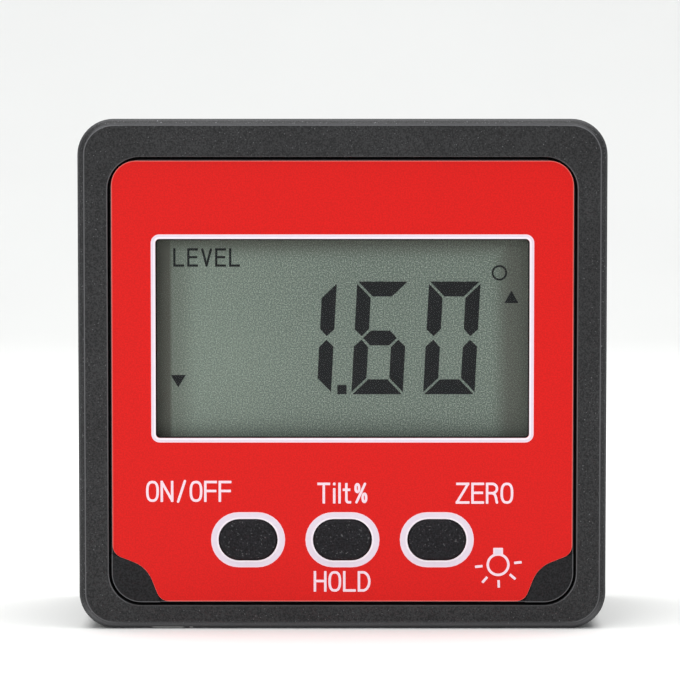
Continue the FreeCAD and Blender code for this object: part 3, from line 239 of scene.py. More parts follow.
# The frame's colour with the painted highlights and painted reflection laid on in pale grey.
colour_with_painted_light = coat.blend(painted_edge_light, body_colour, tint(96, 96, 98))
long_chip, short_chip = -19.9, -17.25
chips = coat.ramp(abs(across - long_chip), 1.5, 2.0, 1.0, 0.0)
chips = chips | coat.ramp(abs(across - short_chip), 0.1, 0.25, 1.0, 0.0)
chips = chips * coat.line(outside, bevel_middle, 0.07) * at_foot * on_bevel
coat.give("Base Color", coat.blend(chips * 0.8, colour_with_painted_light, tint(190, 190, 188)))
coat.give("Roughness", 0.52 + 0.2 * grain - 0.12 * ground_base)
coat.relief(grain + 0.6 * specks, 0.035, 0.55)
dress("housing_frame", coat)

# Base magnets: four pressed discs of hard magnet alloy, nickel plated, with a small chamfer.
# They sit in their pockets just inside the base face.
nickel = Finish("nickel_plate", {"Metallic": 1.0})
polish = nickel.noise(0.5, 3.0)
nickel.give("Base Color", nickel.blend(polish, tint(176, 174, 168), tint(204, 202, 196)))
nickel.give("Roughness", 0.2 + 0.16 * polish)
nickel.relief(nickel.noise(0.12), 0.004, 0.3)
for number in range(1, 5):
    dress(f"base_magnet_{number}", nickel, edge=0.2)

# Front panel: one black moulding behind the label. Its two lower corners show as flat pads,
# finely textured by the mould and a little darker than the frame.
panel = Finish("panel_black", {"Specular IOR Level": 0.2})
mould_grain = panel.noise(0.2, 2.0)
panel_black = panel.blend(panel.ramp(mould_grain, 0.3, 0.7), tint(10, 10, 12), tint(36, 36, 38))
panel_round = 3.37
# Painted highlight: a thin pale line along the panel's outer edge, where its rounded edge catches the light.
panel_edge_highlight = panel.line(panel.rim_distance("face_label", panel_margin, panel_round), -0.05, 0.04)
panel.give("Base Color", panel.blend(panel_edge_highlight * 0.9, panel_black, tint(104, 104, 106)))
panel.give("Roughness", 0.5 + 0.18 * mould_grain)
panel.relief(mould_grain, 0.02, 0.4)
dress("front_panel", panel, edge=0.07)

# Face label: a printed plastic film, glossy red with a fine orange-peel skin. It is die cut,
# so its edge shows the pale core of the film as a thin line.
label_red = (222, 24, 20)
film_core = (250, 150, 140)
label = Finish("label_red", {"Roughness": 0.42, "Specular IOR Level": 0.16})
mottle = label.ramp(label.noise(0.17, 2.0), 0.32, 0.68)
label_round = 2.8
cut_line = label.line(label.rim_distance("face_label", 0.0, label_round), -0.06, 0.04)
film_red = label.blend(mottle, tint(*(0.93 * level for level in label_red)), tint(*label_red))
label.give("Base Color", label.blend(cut_line * 0.35, film_red, tint(*film_core)))
label.relief(label.noise(0.5), 0.006, 0.35)
core = Finish("label_core", {"Roughness": 0.4})
core_shade = tint(*(0.94 * level for level in film_core))
core.give("Base Color", core.blend(core.noise(0.3), tint(*film_core), core_shade))
dress("face_label", label, edge=0.06, edge_finish=core)

# White print round the window and the buttons: lines of ink on the label, a little lilac,
# pink at their outer edge. The inner band of each line is a painted highlight, in brighter ink
# set a little prouder.
ink_height = 0.02
highlight_rise = 0.004
ink_sink = 0.006
label_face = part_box("face_label")[0].y / mm


def piece(name, made, finishes, body="housing"):
    """Turn a finished mesh into a piece of the object that rides on one of its bodies."""
    bmesh.ops.recalc_face_normals(made, faces=made.faces)
    mesh = bpy.data.meshes.new(name)
    made.to_mesh(mesh)
    made.free()
    item = bpy.data.objects.new(name, mesh)
    bpy.context.scene.collection.objects.link(item)
    for finish in finishes:
        mesh.materials.append(finish.material)
    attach(item, body)
    return item


def corners(made, outline, level):
    """Points for an outline of (x, z) places, in millimetres, at one level along Y."""
    return [made.verts.new((x * mm, level * mm, z * mm)) for x, z in outline]


def slab(made, outline, front, back, finish=0):
    """A thin flat solid with the given outline."""
    near, far = corners(made, outline, front), corners(made, outline, back)
    faces = [made.faces.new(near), made.faces.new(far[::-1])]
    for index in range(len(near)):
        following = (index + 1) % len(near)
        faces.append(made.faces.new((near[index], far[index], far[following], near[following])))
    for face in faces:
        face.material_index = finish


def band(made, outer, inner, front, back, finish=0):
    """A thin flat ring between two outlines that have as many points as each other."""
    loops = [corners(made, outline, level) for outline, level in
             ((outer, front), (inner, front), (inner, back), (outer, back))]
    for index in range(len(outer)):
        following = (index + 1) % len(outer)
        for side in range(4):
            here, there = loops[side], loops[(side + 1) % 4]
            face = made.faces.new((here[index], here[following], there[following], there[index]))
            face.material_index = finish


def rounded(left, right, low, high, radius, steps=8):
    """The outline of a rectangle with round corners."""
    outline = []
    centres = [(right - radius, high - radius), (left + radius, high - radius),
               (left + radius, low + radius), (right - radius, low + radius)]
    for quarter, (across, up) in enumerate(centres):
        for step in range(steps + 1):
            turn = (quarter + step / steps) * math.pi / 2
            outline.append((across + radius * math.cos(turn), up + radius * math.sin(turn)))
    return outline


def printed_ring(made, middle, width, height, radius, strokes, tones):
    """A printed line outside an opening, in tones that each reach out to a share of its width."""
    across, up = middle
    inner = rounded(across - width / 2, across + width / 2, up - height / 2, up + height / 2, radius)
    for share, finish in tones:
        side, end = share * strokes[0], share * strokes[1]
        outer = rounded(across - width / 2 - side, across + width / 2 + side, up - height / 2 - end,
                        up + height / 2 + end, radius + end)
        front = label_face - ink_height - (highlight_rise if finish == 1 else 0.0)
        band(made, outer, inner, front, label_face + ink_sink, finish)
        inner = outer


ink = Finish("ink_white", {"Roughness": 0.45, "Specular IOR Level": 0.3})
ink.give("Base Color", ink.blend(ink.noise(0.4), tint(222, 210, 223), tint(231, 219, 231)))
# Brighter ink for the painted highlight along each line's inner band.
highlight_ink = Finish("ink_painted_highlight", {"Roughness": 0.4, "Specular IOR Level": 0.3})
highlight_tones = (tint(240, 229, 237), tint(247, 238, 245))
highlight_ink.give("Base Color", highlight_ink.blend(highlight_ink.noise(0.4), *highlight_tones))

window_width, window_height = 42.4, 22.62
window_middle = (0.0, 33.12)
window_radius = 0.45
edge_ink = Finish("ink_edge", {"Roughness": 0.45, "Specular IOR Level": 0.3})
edge_ink.give("Base Color", edge_ink.blend(edge_ink.noise(0.4), tint(234, 206, 218), tint(241, 215, 227)))
ink_layers = [ink, highlight_ink, edge_ink]
window_line = bmesh.new()
printed_ring(window_line, window_middle, window_width, window_height, window_radius, (0.51, 0.51),
             [(0.42, 1), (0.72, 0), (1.0, 2)])
piece("window_line", window_line, ink_layers)

button_names = ("on_off", "hold", "zero")
button_gap = 0.13
button_flange = 0.8
ring_strokes = (0.845, 0.785)
button_rings = bmesh.new()
for name in button_names:
    low, high = (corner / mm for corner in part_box(f"button_{name}"))
    middle = ((low.x + high.x) / 2, (low.z + high.z) / 2)
    width = high.x - low.x - 2 * button_flange + 2 * button_gap
    height = high.z - low.z - 2 * button_flange + 2 * button_gap
    printed_ring(button_rings, middle, width, height, height / 2, ring_strokes,
                 [(0.24, 1), (0.86, 0), (1.0, 2)])
piece("button_rings", button_rings, ink_layers)

# Words and the lamp sign under the window: white ink through a stencil, in plain narrow letters
# of one stroke width. Slanted strokes of a letter end round, all other ends are softly square.
letter_width = 1.18
letter_stroke = 0.285
stroke_step = 0.002


def arc(centre, reach, start, end, steps=10):
    """Points along an elliptical arc, between two angles in degrees."""
    turns = [math.radians(start + (end - start) * step / steps) for step in range(steps + 1)]
    return [(centre[0] + reach[0] * math.cos(turn), centre[1] + reach[1] * math.sin(turn)) for turn in turns]


def oval(centre, reach, fullness=2.6, steps=28):
    """A closed oval, fuller at its corners than an ellipse."""
    points = []
    for across, up in arc((0.0, 0.0), (1.0, 1.0), 0, 360, steps):
        points.append((centre[0] + reach[0] * math.copysign(abs(across) ** (2 / fullness), across),
                       centre[1] + reach[1] * math.copysign(abs(up) ** (2 / fullness), up)))
    points[-1] = points[0]
    return points


# Each letter: its width as a share of the full one, and its strokes within a height of 1.
upright = [(0, 0), (0, 1)]
LETTERS = {
    "O": (1.0, [oval((0.5, 0.5), (0.5, 0.5))]),
    "N": (1.0, [upright, [(0, 1), (1, 0)], [(1, 0), (1, 1)]]),
    "F": (1.0, [upright, [(0, 1), (1, 1)], [(0, 0.52), (0.95, 0.52)]]),
    "T": (1.0, [[(0, 1), (1, 1)], [(0.5, 1), (0.5, 0)]]),
    "H": (1.0, [upright, [(1, 0), (1, 1)], [(0, 0.52), (1, 0.52)]]),
    "L": (1.0, [upright, [(0, 0), (1, 0)]]),
    "D": (1.0, [upright, [(0, 1), (0.4, 1)] + arc((0.4, 0.5), (0.6, 0.5), 80, -80) + [(0.4, 0), (0, 0)]]),
    "Z": (1.1, [[(0.05, 1), (1.08, 1)], [(1.08, 1), (0, 0)], [(0, 0), (1.1, 0)]]),
    "E": (1.0, [upright, [(0, 1), (1, 1)], [(0, 0.52), (0.9, 0.52)], [(0, 0), (1, 0)]]),
    "R": (1.0, [upright,
                [(0, 1), (0.5, 1)] + arc((0.5, 0.75), (0.45, 0.25), 80, -80) + [(0.5, 0.5), (0, 0.5)],
                [(0.5, 0.5), (0.72, 0.44), (0.84, 0.3), (0.95, 0)]]),
    "V": (1.0, [[(0, 1), (0.5, 0)], [(0.5, 0), (1, 1)]]),
    "/": (1.0, [[(0.17, -0.05), (0.83, 1.05)]]),
    "i": (0.0, [[(0, 0), (0, 0.7)], [(0, 0.99), (0, 1)]]),
    "l": (0.0, [[(0, 0), (0, 1)]]),
    "t": (0.5, [[(0.15, 0.98), (0.15, 0.15)] + arc((0.33, 0.13), (0.18, 0.13), 180, 270, 4) + [(0.5, 0)],
                [(-0.08, 0.68), (0.42, 0.68)]]),
    "%": (1.05, [oval((0.2, 0.77), (0.17, 0.21), 2.2, 20), [(0.12, 0), (0.93, 1)],
                 oval((0.88, 0.24), (0.17, 0.22), 2.2, 20)]),
}


def offset_line(points, reach, closed):
    """A line moved sideways by a distance, with mitred corners."""
    moved = []
    count = len(points)
    for index, (across, up) in enumerate(points):
        before = points[index - 1] if index or closed else points[index]
        after = points[(index + 1) % count] if index + 1 < count or closed else points[index]
        normals = []
        for start, end in ((before, (across, up)), ((across, up), after)):
            run = Vector(end) - Vector(start)
            if run.length > 1e-9:
                normals.append(Vector((run.y, -run.x)).normalized())
        mitre = sum(normals, Vector((0.0, 0.0))).normalized()
        shift = mitre * (reach / mitre.dot(normals[0]))
        moved.append((across + shift.x, up + shift.y))
    return moved


def cap(place, toward, half, square):
    """The end of a stroke: square with soft corners if asked or where it runs level or upright."""
    turn = math.degrees(math.atan2(toward.y, toward.x))
    if min(abs(toward.x), abs(toward.y)) > 0.01 and not square:
        return arc(place, (half, half), turn - 90, turn + 90, 8)
    soft = 0.3 * half
    beside = Vector((-toward.y, toward.x))
    corner = place + toward * (half - soft)
    return (arc(corner - beside * (half - soft), (soft, soft), turn - 90, turn, 3)
            + arc(corner + beside * (half - soft), (soft, soft), turn, turn + 90, 3))


def stroke(made, points, width, front, back, square=False):
    """One stroke of ink along a line; a closed line gives a ring."""
    half = width / 2
    if points[0] == points[-1]:
        loop = points[:-1]
        band(made, offset_line(loop, half, True), offset_line(loop, -half, True), front, back)
        return
    first, second, last_but_one, last = (Vector(points[index]) for index in (0, 1, -2, -1))
    outline = offset_line(points, half, False)[1:-1]
    outline += cap(last, (last - last_but_one).normalized(), half, square)
    outline += offset_line(points, -half, False)[-2:0:-1]
    outline += cap(first, (first - second).normalized(), half, square)
    slab(made, outline, front, back)


def write(made, text, middle, low, size, gap, width, level, thickness, sink):
    """Write a word: its middle across, its base line, its letter size and the gap between letters."""
    across, up = size
    length = sum(LETTERS[letter][0] * across for letter in text) + gap * (len(text) - 1)
    left = middle - length / 2
    for letter in text:
        share, lines = LETTERS[letter]
        for index, line in enumerate(lines):
            placed = [(left + x * across, low + z * up) for x, z in line]
            stroke(made, placed, width, level - thickness - stroke_step * index, level + sink)
        left += share * across + gap


letter_ink = Finish("ink_letters", {"Roughness": 0.45, "Specular IOR Level": 0.3})
letter_tones = (tint(240, 213, 223), tint(248, 221, 231))
letter_ink.give("Base Color", letter_ink.blend(letter_ink.noise(0.4), *letter_tones))
for name, text, middle, low, height, gap in (("word_on_off", "ON/OFF", -17.48, 14.66, 2.13, 0.47),
                                             ("word_tilt", "Tilt%", -0.01, 14.48, 2.1, 0.6),
                                             ("word_hold", "HOLD", -0.04, 4.38, 2.08, 0.49),
                                             ("word_zero", "ZERO", 16.15, 14.45, 2.13, 0.48)):
    word = bmesh.new()
    write(word, text, middle, low, (letter_width, height), gap, letter_stroke, label_face, ink_height,
          ink_sink)
    piece(name, word, [letter_ink])

sign = bmesh.new()
sign_middle = (17.72, 7.34)
bulb_radius = 1.175
ray_length = 0.58
front, back = label_face - ink_height, label_face + ink_sink
stroke(sign, oval(sign_middle, (bulb_radius, bulb_radius), 2.0, 40), letter_stroke, front, back)
# The lamp's cap: a small block of ink with a slightly darker middle.
for half, low, high, radius, proud, finish in ((0.56, 1.06, 1.92, 0.08, 0.002, 0),
                                               (0.37, 1.18, 1.72, 0.05, 0.005, 1)):
    outline = rounded(sign_middle[0] - half, sign_middle[0] + half, sign_middle[1] + low,
                      sign_middle[1] + high, radius, 3)
    slab(sign, outline, front - proud, back, finish)
for angle, ray_middle in ((185.5, 2.2), (229, 2.3), (272, 2.21), (320, 2.16), (6, 2.27)):
    direction = Vector((math.cos(math.radians(angle)), math.sin(math.radians(angle))))
    ends = [Vector(sign_middle) + direction * (ray_middle + side * ray_length / 2) for side in (-1, 1)]
    stroke(sign, [tuple(end) for end in ends], letter_stroke, front, back, square=True)
piece("lamp_sign", sign, [letter_ink, ink])

# Window lens: a clear pressed pane in the panel's rebate, polished on both faces.
# A thin black band lies round the edge of its face and shows inside the white line.
lens = Finish("lens_clear", {"Base Color": tint(120, 128, 122), "Roughness": 0.06, "IOR": 1.49})
lens.see_through(0.003 + 0.4 * lens.mirror_share(1.49))
dress("window_lens", lens)

line_black = Finish("line_black", {"Roughness": 0.6, "Specular IOR Level": 0.2})
line_black.give("Base Color", line_black.blend(line_black.noise(0.3), tint(12, 12, 12), tint(20, 20, 19)))
lens_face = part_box("window_lens")[0].y / mm
mask = bmesh.new()
half_width, half_height = window_width / 2 - 0.01, window_height / 2 - 0.01
mask_width = 0.14
loops = []
for inset in (0.0, mask_width):
    loops.append(rounded(-half_width + inset, half_width - inset, window_middle[1] - half_height + inset,
                         window_middle[1] + half_height - inset, window_radius - inset))
band(mask, loops[0], loops[1], lens_face - ink_height, lens_face + ink_sink)
piece("window_mask", mask, [line_black])

# Display: two panes of glass with polarising film outside them. The dark segments and the
# grey-green ground of the liquid are drawn as thin layers just in front of the front film.
film = Finish("film_grey", {"Base Color": tint(110, 122, 112), "Roughness": 0.35})
film.see_through(0.6)
dress("display_front_polariser", film)
glass = Finish("glass_clear", {"Base Color": tint(90, 100, 94), "Roughness": 0.06, "IOR": 1.52})
glass.see_through(0.1)
dress("display_front_glass", glass)
rear = Finish("glass_backed", {"Roughness": 0.2})
rear.give("Base Color", rear.blend(rear.noise(0.6), tint(120, 130, 122), tint(128, 138, 130)))
for node in ("display_rear_glass", "display_rear_polariser"):
    dress(node, rear)

ground = Finish("display_ground", {"Roughness": 0.5, "Specular IOR Level": 0.2})
across, up = ground.axis(0), ground.axis(2)
grain = ground.noise(0.14, 2.0)
cloud = ground.noise(5.0)
toward_right = ground.ramp(across + 8.0 * cloud, -14.0, 6.0)
lit = ground.blend(toward_right, tint(106, 119, 109), tint(91, 103, 95))
lit = ground.blend(ground.ramp(grain, 0.4, 0.8), lit, tint(165, 177, 164))
# Painted shade: the ground is darkened in soft bands along the window's left, right and top edges, and a
# little along its foot, as where the window's walls shade it.
left_painted_shade = ground.ramp(across, -19.8, -19.1, 1.0, 0.0) | ground.ramp(across, -19.1, -16.3, 0.4, 0.0)
right_painted_shade = ground.ramp(across, 16.6, 19.2)
top_painted_shade = ground.ramp(up, 41.6, 44.2)
low_painted_shade = ground.ramp(up, 21.2, 24.4, 1.0, 0.0)
edge = left_painted_shade | 0.78 * right_painted_shade | 0.75 * top_painted_shade | 0.15 * low_painted_shade
# The painted shade laid on in a dark olive grey.
ground.give("Base Color", ground.blend(edge * 0.85, lit, tint(74, 72, 65)))

segment_ink = Finish("segment_dark", {"Roughness": 0.45, "Specular IOR Level": 0.2})
segment_ink.give("Base Color", segment_ink.blend(segment_ink.noise(0.2), tint(12, 13, 16), tint(22, 23, 26)))

low, high = (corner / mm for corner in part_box("display_front_polariser"))
ground_front = low.y - 0.02
ground_border = 0.3
ground_thickness = 0.03
plate = bmesh.new()
slab(plate, rounded(low.x + ground_border, high.x - ground_border, low.z + ground_border,
                    high.z - ground_border, 0.1, 2), ground_front, ground_front + ground_thickness)
piece("display_ground", plate, [ground])

digit_width, digit_height = 5.87, 12.87
bar = 1.7
bar_gap = 0.25
slant = math.tan(math.radians(3))
display_middle = 33.07


def digit_bars():
    """The seven bars of a digit round its own middle, by their usual letters."""
    side, top = digit_width / 2, digit_height / 2
    inner = side - bar
    rail = [(-side + bar_gap / 2, top), (side - bar_gap / 2, top), (inner - bar_gap / 2, top - bar),
            (bar_gap / 2 - inner, top - bar)]
    post = [(-side, top - bar_gap), (-side, bar / 2 + bar_gap / 2), (-side + bar / 2, bar_gap * 0.8),
            (-inner - bar_gap / 4, bar / 2 + bar_gap * 0.8),
            (-inner - bar_gap / 4, top - bar - bar_gap * 0.65)]
    tip = side - bar / 2 - bar_gap * 0.6
    waist = [(-tip, 0), (-tip + bar / 2, -bar / 2), (tip - bar / 2, -bar / 2), (tip, 0),
             (tip - bar / 2, bar / 2), (-tip + bar / 2, bar / 2)]
    return {
        "a": rail, "d": [(x, -z) for x, z in rail], "g": waist, "f": post,
        "b": [(-x, z) for x, z in post], "e": [(x, -z) for x, z in post], "c": [(-x, -z) for x, z in post],
    }


shown = {"1": "bc", "6": "acdefg", "0": "abcdef"}
digit_pitch = 8.19
last_digit = 12.47
segments = bmesh.new()
segment_height, segment_sink = 0.03, 0.005
segment_front, segment_back = ground_front - segment_height, ground_front + segment_sink
for place, figure in enumerate("160"):
    middle = last_digit - (2 - place) * digit_pitch
    for letter in shown[figure]:
        outline = [(middle + x + z * slant, display_middle + z) for x, z in digit_bars()[letter]]
        slab(segments, outline, segment_front, segment_back)
point_middle, point_half = -0.06, 0.53
point_left, point_right = point_middle - point_half, point_middle + point_half
point_low = display_middle - digit_height / 2
point_high = point_low + 2 * point_half
slab(segments, [(point_left, point_low), (point_right, point_low), (point_right, point_high),
                (point_left, point_high)], segment_front, segment_back)
level_middle, level_low, level_size = -15.47, 41.33, (0.98, 1.84)
level_gap, level_stroke = 0.61, 0.26
write(segments, "LEVEL", level_middle, level_low, level_size, level_gap, level_stroke, ground_front,
      segment_height, segment_sink)
degree_middle, degree_radius, degree_stroke = (17.87, 40.5), 0.775, 0.22
degree_ring = oval(degree_middle, (degree_radius, degree_radius), 2.0, 32)
stroke(segments, degree_ring, degree_stroke, segment_front, segment_back)
arrow_up = [(18.45, 37.05), (20.06, 37.05), (19.26, 38.47)]
arrow_down = [(-19.6, 28.84), (-18.73, 27.42), (-17.87, 28.84)]
for arrow in (arrow_up, arrow_down):
    slab(segments, arrow, segment_front, segment_back)
piece("display_segments", segments, [segment_ink])

# Display holder, light guide, lamps and contact strip: a white moulded tray, a frosted acrylic
# slab, two side-firing lamps and a strip of rubber with fine carbon layers.
milk = Finish("holder_white", {"Roughness": 0.55})
milk.give("Base Color", milk.blend(milk.noise(0.8), tint(214, 213, 206), tint(224, 223, 217)))
milk.relief(milk.noise(0.3), 0.01, 0.3)
dress("display_holder", milk, edge=0.15)
frost = Finish("guide_frosted", {"Roughness": 0.4})
dot_pitch = 0.9
dots = frost.node("ShaderNodeTexVoronoi", {},
                  {"Vector": frost.place, "Scale": 1 / (dot_pitch * mm), "Randomness": 0.0})
frost.give("Base Color", frost.blend(frost.ramp(dots, 0.25, 0.35), tint(250, 250, 248), tint(222, 230, 226)))
dress("backlight_guide", frost, edge=0.1)
lamp = Finish("lamp_package", {"Roughness": 0.5})
toward_guide = lamp.ramp(0.0 - lamp.facing(0), 0.8, 0.9)
lamp.give("Base Color", lamp.blend(toward_guide, tint(232, 230, 224), tint(236, 204, 92)))
for place in ("lower", "upper"):
    dress(f"backlight_lamp_{place}", lamp, edge=0.08)
strip = Finish("strip_layered", {"Roughness": 0.7})
layer_pitch = 0.2
layers = strip.ramp(abs(strip.axis(0) % layer_pitch - layer_pitch / 2), 0.04, 0.06)
strip.give("Base Color", strip.blend(layers, tint(196, 176, 170), tint(34, 33, 34)))
dress("display_contact_strip", strip, edge=0.1)

# Push buttons: moulded caps of soft black rubber-like plastic on a flange behind the panel,
# their faces spark-eroded to a dull grain.
rubber = Finish("button_black", {"Specular IOR Level": 0.2})
grit = rubber.noise(0.2, 3.0)
flecks = rubber.ramp(rubber.noise(0.22, 1.0), 0.66, 0.76)
rubber_black = rubber.blend(rubber.ramp(grit, 0.3, 0.7), tint(5, 5, 8), tint(33, 32, 36))
rubber.give("Base Color", rubber.blend(flecks * 0.5, rubber_black, tint(120, 120, 122)))
rubber.give("Roughness", 0.5 + 0.2 * grit)
rubber.relief(grit + 0.4 * flecks, 0.03, 0.6)
for name in button_names:
    dress(f"button_{name}", rubber)

# Tactile switches: a black moulded body under a pressed steel plate, tinned legs, and a plunger
# of hard plastic that carries the button.
switch = Finish("switch_body", {"Roughness": 0.4})
front_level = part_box("switch_body_hold")[0].y / mm
plate_share = switch.ramp(switch.axis(1), front_level + 0.25, front_level + 0.3, 1.0, 0.0)
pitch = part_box("switch_body_zero")[0].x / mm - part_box("switch_body_hold")[0].x / mm
from_middle = abs((switch.axis(0) + 1.5 * pitch) % pitch - pitch / 2)
body_half = 3.0
legs = switch.ramp(from_middle, body_half + 0.02, body_half + 0.06)
steel = plate_share | legs
switch.give("Base Color", switch.blend(steel, tint(28, 28, 30), tint(190, 190, 188)))
switch.give("Metallic", steel)
plunger = Finish("plunger_plastic", {"Roughness": 0.45})
plunger.give("Base Color", plunger.blend(plunger.noise(0.5), tint(206, 200, 184), tint(216, 211, 197)))
for name in button_names:
    dress(f"switch_body_{name}", switch, edge=0.12)
    dress(f"switch_plunger_{name}", plunger, edge=0.15)

# Circuit board: glass-fibre laminate under green lacquer, with copper lanes under it and pale cut edges.
# Its small parts are a chip, a tilt sensor, a clock crystal and two rows of passives.
board = Finish("board_green", {"Roughness": 0.35})
across, up = board.axis(0), board.axis(2)
lane_pitch = 1.6
lanes = abs(up % lane_pitch - lane_pitch / 2)
blocks = board.ramp(board.noise(7.0, 0.0), 0.48, 0.5)
traces = board.ramp(lanes, 0.12, 0.16, 1.0, 0.0) * blocks
lanes_up = abs(across % lane_pitch - lane_pitch / 2)
traces = traces | board.ramp(lanes_up, 0.12, 0.16, 1.0, 0.0) * (1 - blocks)
lacquer = board.blend(traces * 0.7, tint(16, 66, 42), tint(44, 116, 74))
cut_edge = board.ramp(abs(board.facing(1)), 0.4, 0.6, 1.0, 0.0)
board.give("Base Color", board.blend(cut_edge, lacquer, tint(168, 158, 104)))
board.relief(traces, 0.03, 0.6)
dress("circuit_board", board, edge=0.05)

chip_low, chip_high = (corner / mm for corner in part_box("microcontroller"))
chip_middle = (chip_low + chip_high) / 2
lead_reach = 1.0
chip = Finish("chip_resin", {})
from_x, from_z = abs(chip.axis(0) - chip_middle.x), abs(chip.axis(2) - chip_middle.z)
body_reach = (chip_high.x - chip_middle.x) - lead_reach
outside = chip.ramp(from_x | from_z, body_reach + 0.01, body_reach + 0.03)
chip.give("Base Color", chip.blend(outside, tint(34, 34, 36), tint(196, 196, 192)))
chip.give("Metallic", outside)
chip.give("Roughness", 0.6 - 0.25 * outside)
dimple_side = 2.6
dimple = chip.ramp(abs(chip.axis(0) - chip_middle.x + dimple_side)
                   + abs(chip.axis(2) - chip_middle.z - dimple_side), 0.3, 0.5)
chip.relief(dimple + 0.3 * chip.noise(0.12), 0.05, 0.6)
dress("microcontroller", chip, edge=0.05)
sensor = Finish("sensor_resin", {"Roughness": 0.55})
sensor.give("Base Color", sensor.blend(sensor.noise(0.3), tint(30, 30, 32), tint(40, 40, 42)))
sensor.relief(sensor.noise(0.12), 0.02, 0.4)
dress("tilt_sensor", sensor, edge=0.15)
can = Finish("can_metal", {"Metallic": 1.0})
brushed = can.node("ShaderNodeTexNoise", {"noise_dimensions": "1D"}, {"W": can.axis(0) * 12.0, "Scale": 1.0})
can.give("Base Color", can.blend(brushed, tint(182, 180, 172), tint(208, 206, 198)))
can.give("Roughness", 0.22 + 0.15 * brushed)
dress("crystal_can", can, edge=0.15)
for node, body_tone in (("board_capacitors", (172, 134, 92)), ("board_resistors", (30, 30, 32))):
    low, high = (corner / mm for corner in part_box(node))
    small = Finish(node, {})
    ends = small.ramp(abs(small.axis(2) - (low.z + high.z) / 2), 0.58, 0.62)
    small.give("Base Color", small.blend(ends, tint(*body_tone), tint(204, 204, 200)))
    small.give("Metallic", ends)
    small.give("Roughness", 0.5 - 0.2 * ends)
    dress(node, small, edge=0.08)

# Board screws: small pan-head screws, zinc plated, with a cross recess.
zinc = Finish("zinc_plate", {"Metallic": 1.0})
turned = zinc.noise(0.15, 3.0)
zinc.give("Base Color", zinc.blend(turned, tint(176, 178, 176), tint(206, 208, 204)))
zinc.give("Roughness", 0.28 + 0.18 * turned)
for number in range(1, 5):
    dress(f"board_screw_{number}", zinc, edge=0.08)

# Rear cover and battery door: black mouldings with a fine spark-eroded skin outside.
# The door snaps in with two tongues at its top and a latch at its foot; it comes from a tool
# of its own and is a shade finer and glossier.
for node, pit, shine in (("rear_cover", 0.36, 0.0), ("battery_door", 0.28, 0.06)):
    skin = Finish(f"{node}_black", {"Specular IOR Level": 0.45})
    erosion, drift = skin.ramp(skin.noise(pit, 3.0), 0.3, 0.7), skin.noise(9.0)
    skin_black = skin.blend(erosion, tint(20, 20, 22), tint(48, 48, 51))
    skin.give("Base Color", skin.blend(drift * 0.35, skin_black, tint(44, 44, 46)))
    skin.give("Roughness", 0.44 + 0.2 * erosion + 0.08 * drift - shine)
    skin.relief(erosion, 0.06, 0.7)
    dress(node, skin, edge=0.15)

# Cells: steel cans in a shrunk plastic jacket, dark with a pale band at the positive end;
# both ends are bare plated steel.
for name, side in (("upper", 1), ("lower", -1)):
    low, high = (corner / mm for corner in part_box(f"battery_{name}"))
    jacket = Finish(f"jacket_{name}", {})
    along = side * (jacket.axis(0) - (low.x + high.x) / 2)
    half = (high.x - low.x) / 2
    bare = jacket.ramp(abs(along + 0.5), half - 1.4, half - 1.3)
    pale = jacket.ramp(along, half - 9.0, half - 8.9)
    wrap = jacket.blend(pale, tint(34, 46, 74), tint(206, 204, 196))
    jacket.give("Base Color", jacket.blend(bare, wrap, tint(196, 194, 188)))
    jacket.give("Metallic", bare)
    jacket.give("Roughness", 0.32 + 0.1 * jacket.noise(1.2))
    dress(f"battery_{name}", jacket)

# Contact springs and plates: hard-drawn steel wire and pressed strip, both nickel plated.
# Each spring is a cone of four turns, the first half turn closed at its wide end.
wire_radius = 0.32
coil_turns = 4
closed_share = 0.12
narrow = 1.7
ring_steps = 28
wire_steps = 12
for name, side in (("upper", 1), ("lower", -1)):
    node = f"contact_spring_{name}"
    low, high = (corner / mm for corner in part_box(node))
    centre_y, centre_z = (low.y + high.y) / 2, (low.z + high.z) / 2
    wide = (high.z - low.z) / 2 - wire_radius
    start = low.x + wire_radius if side > 0 else high.x - wire_radius
    run = side * (high.x - low.x - 2 * wire_radius)
    line = []
    count = coil_turns * ring_steps
    for step in range(count + 1):
        share = step / count
        climb = max(0.0, (share - closed_share) / (1 - closed_share))
        turn = 2 * math.pi * coil_turns * share
        radius = wide + (narrow - wide) * climb
        line.append(Vector((start + run * climb, centre_y + radius * math.cos(turn),
                            centre_z + radius * math.sin(turn))))
    coil = bmesh.new()
    rings = []
    for index, point in enumerate(line):
        ahead = (line[min(index + 1, count)] - line[max(index - 1, 0)]).normalized()
        outward = (point - Vector((point.x, centre_y, centre_z))).normalized()
        beside = ahead.cross(outward).normalized()
        outward = beside.cross(ahead)
        ring = []
        for corner in range(wire_steps):
            turn = 2 * math.pi * corner / wire_steps
            place = point + wire_radius * (outward * math.cos(turn) + beside * math.sin(turn))
            ring.append(coil.verts.new(place * mm))
        rings.append(ring)
    for here, there in zip(rings, rings[1:]):
        for corner in range(wire_steps):
            following = (corner + 1) % wire_steps
            face = coil.faces.new((here[corner], here[following], there[following], there[corner]))
            face.smooth = True
    coil.faces.new(rings[0])
    coil.faces.new(rings[-1])
    spring = piece(f"spring_{name}", coil, [nickel])
    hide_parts(node)
for name in ("positive", "negative", "bridge"):
    dress(f"terminal_{name}", nickel, edge=0.06)

# Cover screws: flat-head machine screws, black oxide on steel, worn paler in random patches.
oxide = Finish("black_oxide", {"Metallic": 1.0})
worn = oxide.noise(0.3, 3.0)
oxide.give("Base Color", oxide.blend(worn, tint(66, 66, 68), tint(98, 98, 100)))
oxide.give("Roughness", 0.32 + 0.2 * worn)
for number in range(1, 5):
    dress(f"cover_screw_{number}", oxide, edge=0.08)

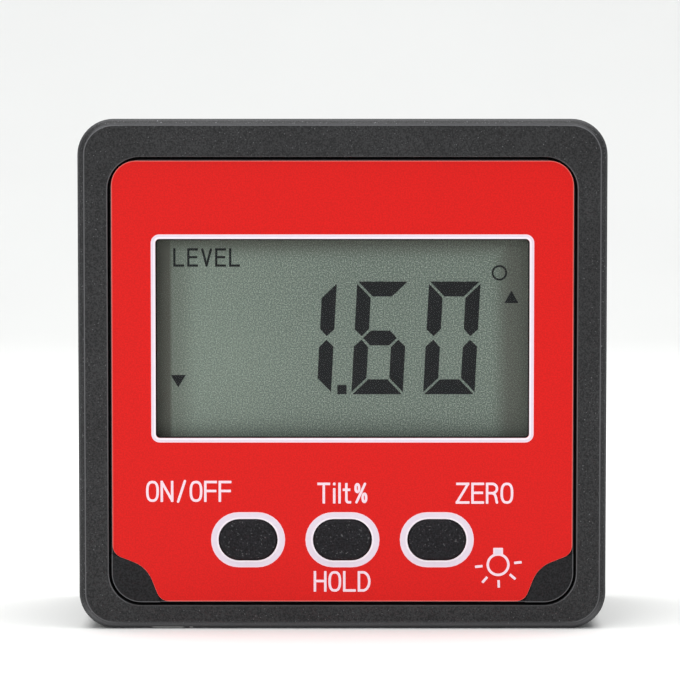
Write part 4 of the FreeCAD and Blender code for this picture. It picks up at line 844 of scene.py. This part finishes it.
# The room: a pale floor that turns up into a backdrop, soft light from above and in front,
# and the camera at the angle of the photograph.
floor_finish = Finish("floor_pale", {"Roughness": 0.9, "Specular IOR Level": 0.1})
floor_tones = (tint(228, 228, 226), tint(233, 233, 231))
floor_finish.give("Base Color", floor_finish.blend(floor_finish.noise(80.0), *floor_tones))
floor_near, floor_far, floor_half, wall_top = -1.2, 0.5, 1.6, 2.0
sweep_radius = 0.35
sweep_steps = 16
profile = [(floor_near, 0.0), (floor_far, 0.0)]
for step in range(1, sweep_steps + 1):
    turn = math.pi / 2 * step / sweep_steps
    profile.append((floor_far + sweep_radius * math.sin(turn), sweep_radius * (1 - math.cos(turn))))
profile.append((floor_far + sweep_radius, wall_top))
sweep = bmesh.new()
rows = [[sweep.verts.new((x, y, z)) for x in (-floor_half, floor_half)] for y, z in profile]
for here, there in zip(rows, rows[1:]):
    sweep.faces.new((here[0], here[1], there[1], there[0])).smooth = True
floor_mesh = bpy.data.meshes.new("floor")
sweep.to_mesh(floor_mesh)
sweep.free()
floor = bpy.data.objects.new("floor", floor_mesh)
floor_mesh.materials.append(floor_finish.material)
bpy.context.scene.collection.objects.link(floor)

world = bpy.data.worlds.new("studio")
world.use_nodes = True
sky = world.node_tree.nodes["Background"].inputs
sky["Color"].default_value = (0.93, 0.96, 1.0, 1.0)
sky["Strength"].default_value = 0.47
bpy.context.scene.world = world


def soft_light(name, place, target, size, power):
    """A large soft lamp at one place that points to another."""
    lamp = bpy.data.lights.new(name, "AREA")
    lamp.shape = "RECTANGLE"
    lamp.size, lamp.size_y = size
    lamp.energy = power
    item = bpy.data.objects.new(name, lamp)
    item.location = place
    item.rotation_euler = (Vector(target) - Vector(place)).to_track_quat("-Z", "Y").to_euler()
    bpy.context.scene.collection.objects.link(item)


object_middle = (0.0, 0.0, 0.03)
soft_light("above", (0.0, 0.02, 0.75), object_middle, (0.9, 0.5), 8.4)
soft_light("front", (-0.4, -0.8, 0.35), object_middle, (0.5, 0.5), 2.3)

camera_distance = 0.375
camera_rise = math.radians(3.6)
aim = Vector((-0.28 * mm, -14.0 * mm, 32.985 * mm))
camera_data = bpy.data.cameras.new("camera")
camera_data.sensor_width = 36.0
camera_data.lens = 175.2
camera_data.clip_start = 0.01
camera = bpy.data.objects.new("camera", camera_data)
camera.location = aim + camera_distance * Vector((0.0, -math.cos(camera_rise), math.sin(camera_rise)))
camera.rotation_euler = (aim - camera.location).to_track_quat("-Z", "Y").to_euler()
bpy.context.scene.collection.objects.link(camera)
bpy.context.scene.camera = camera
bpy.context.scene.view_settings.view_transform = "Standard"
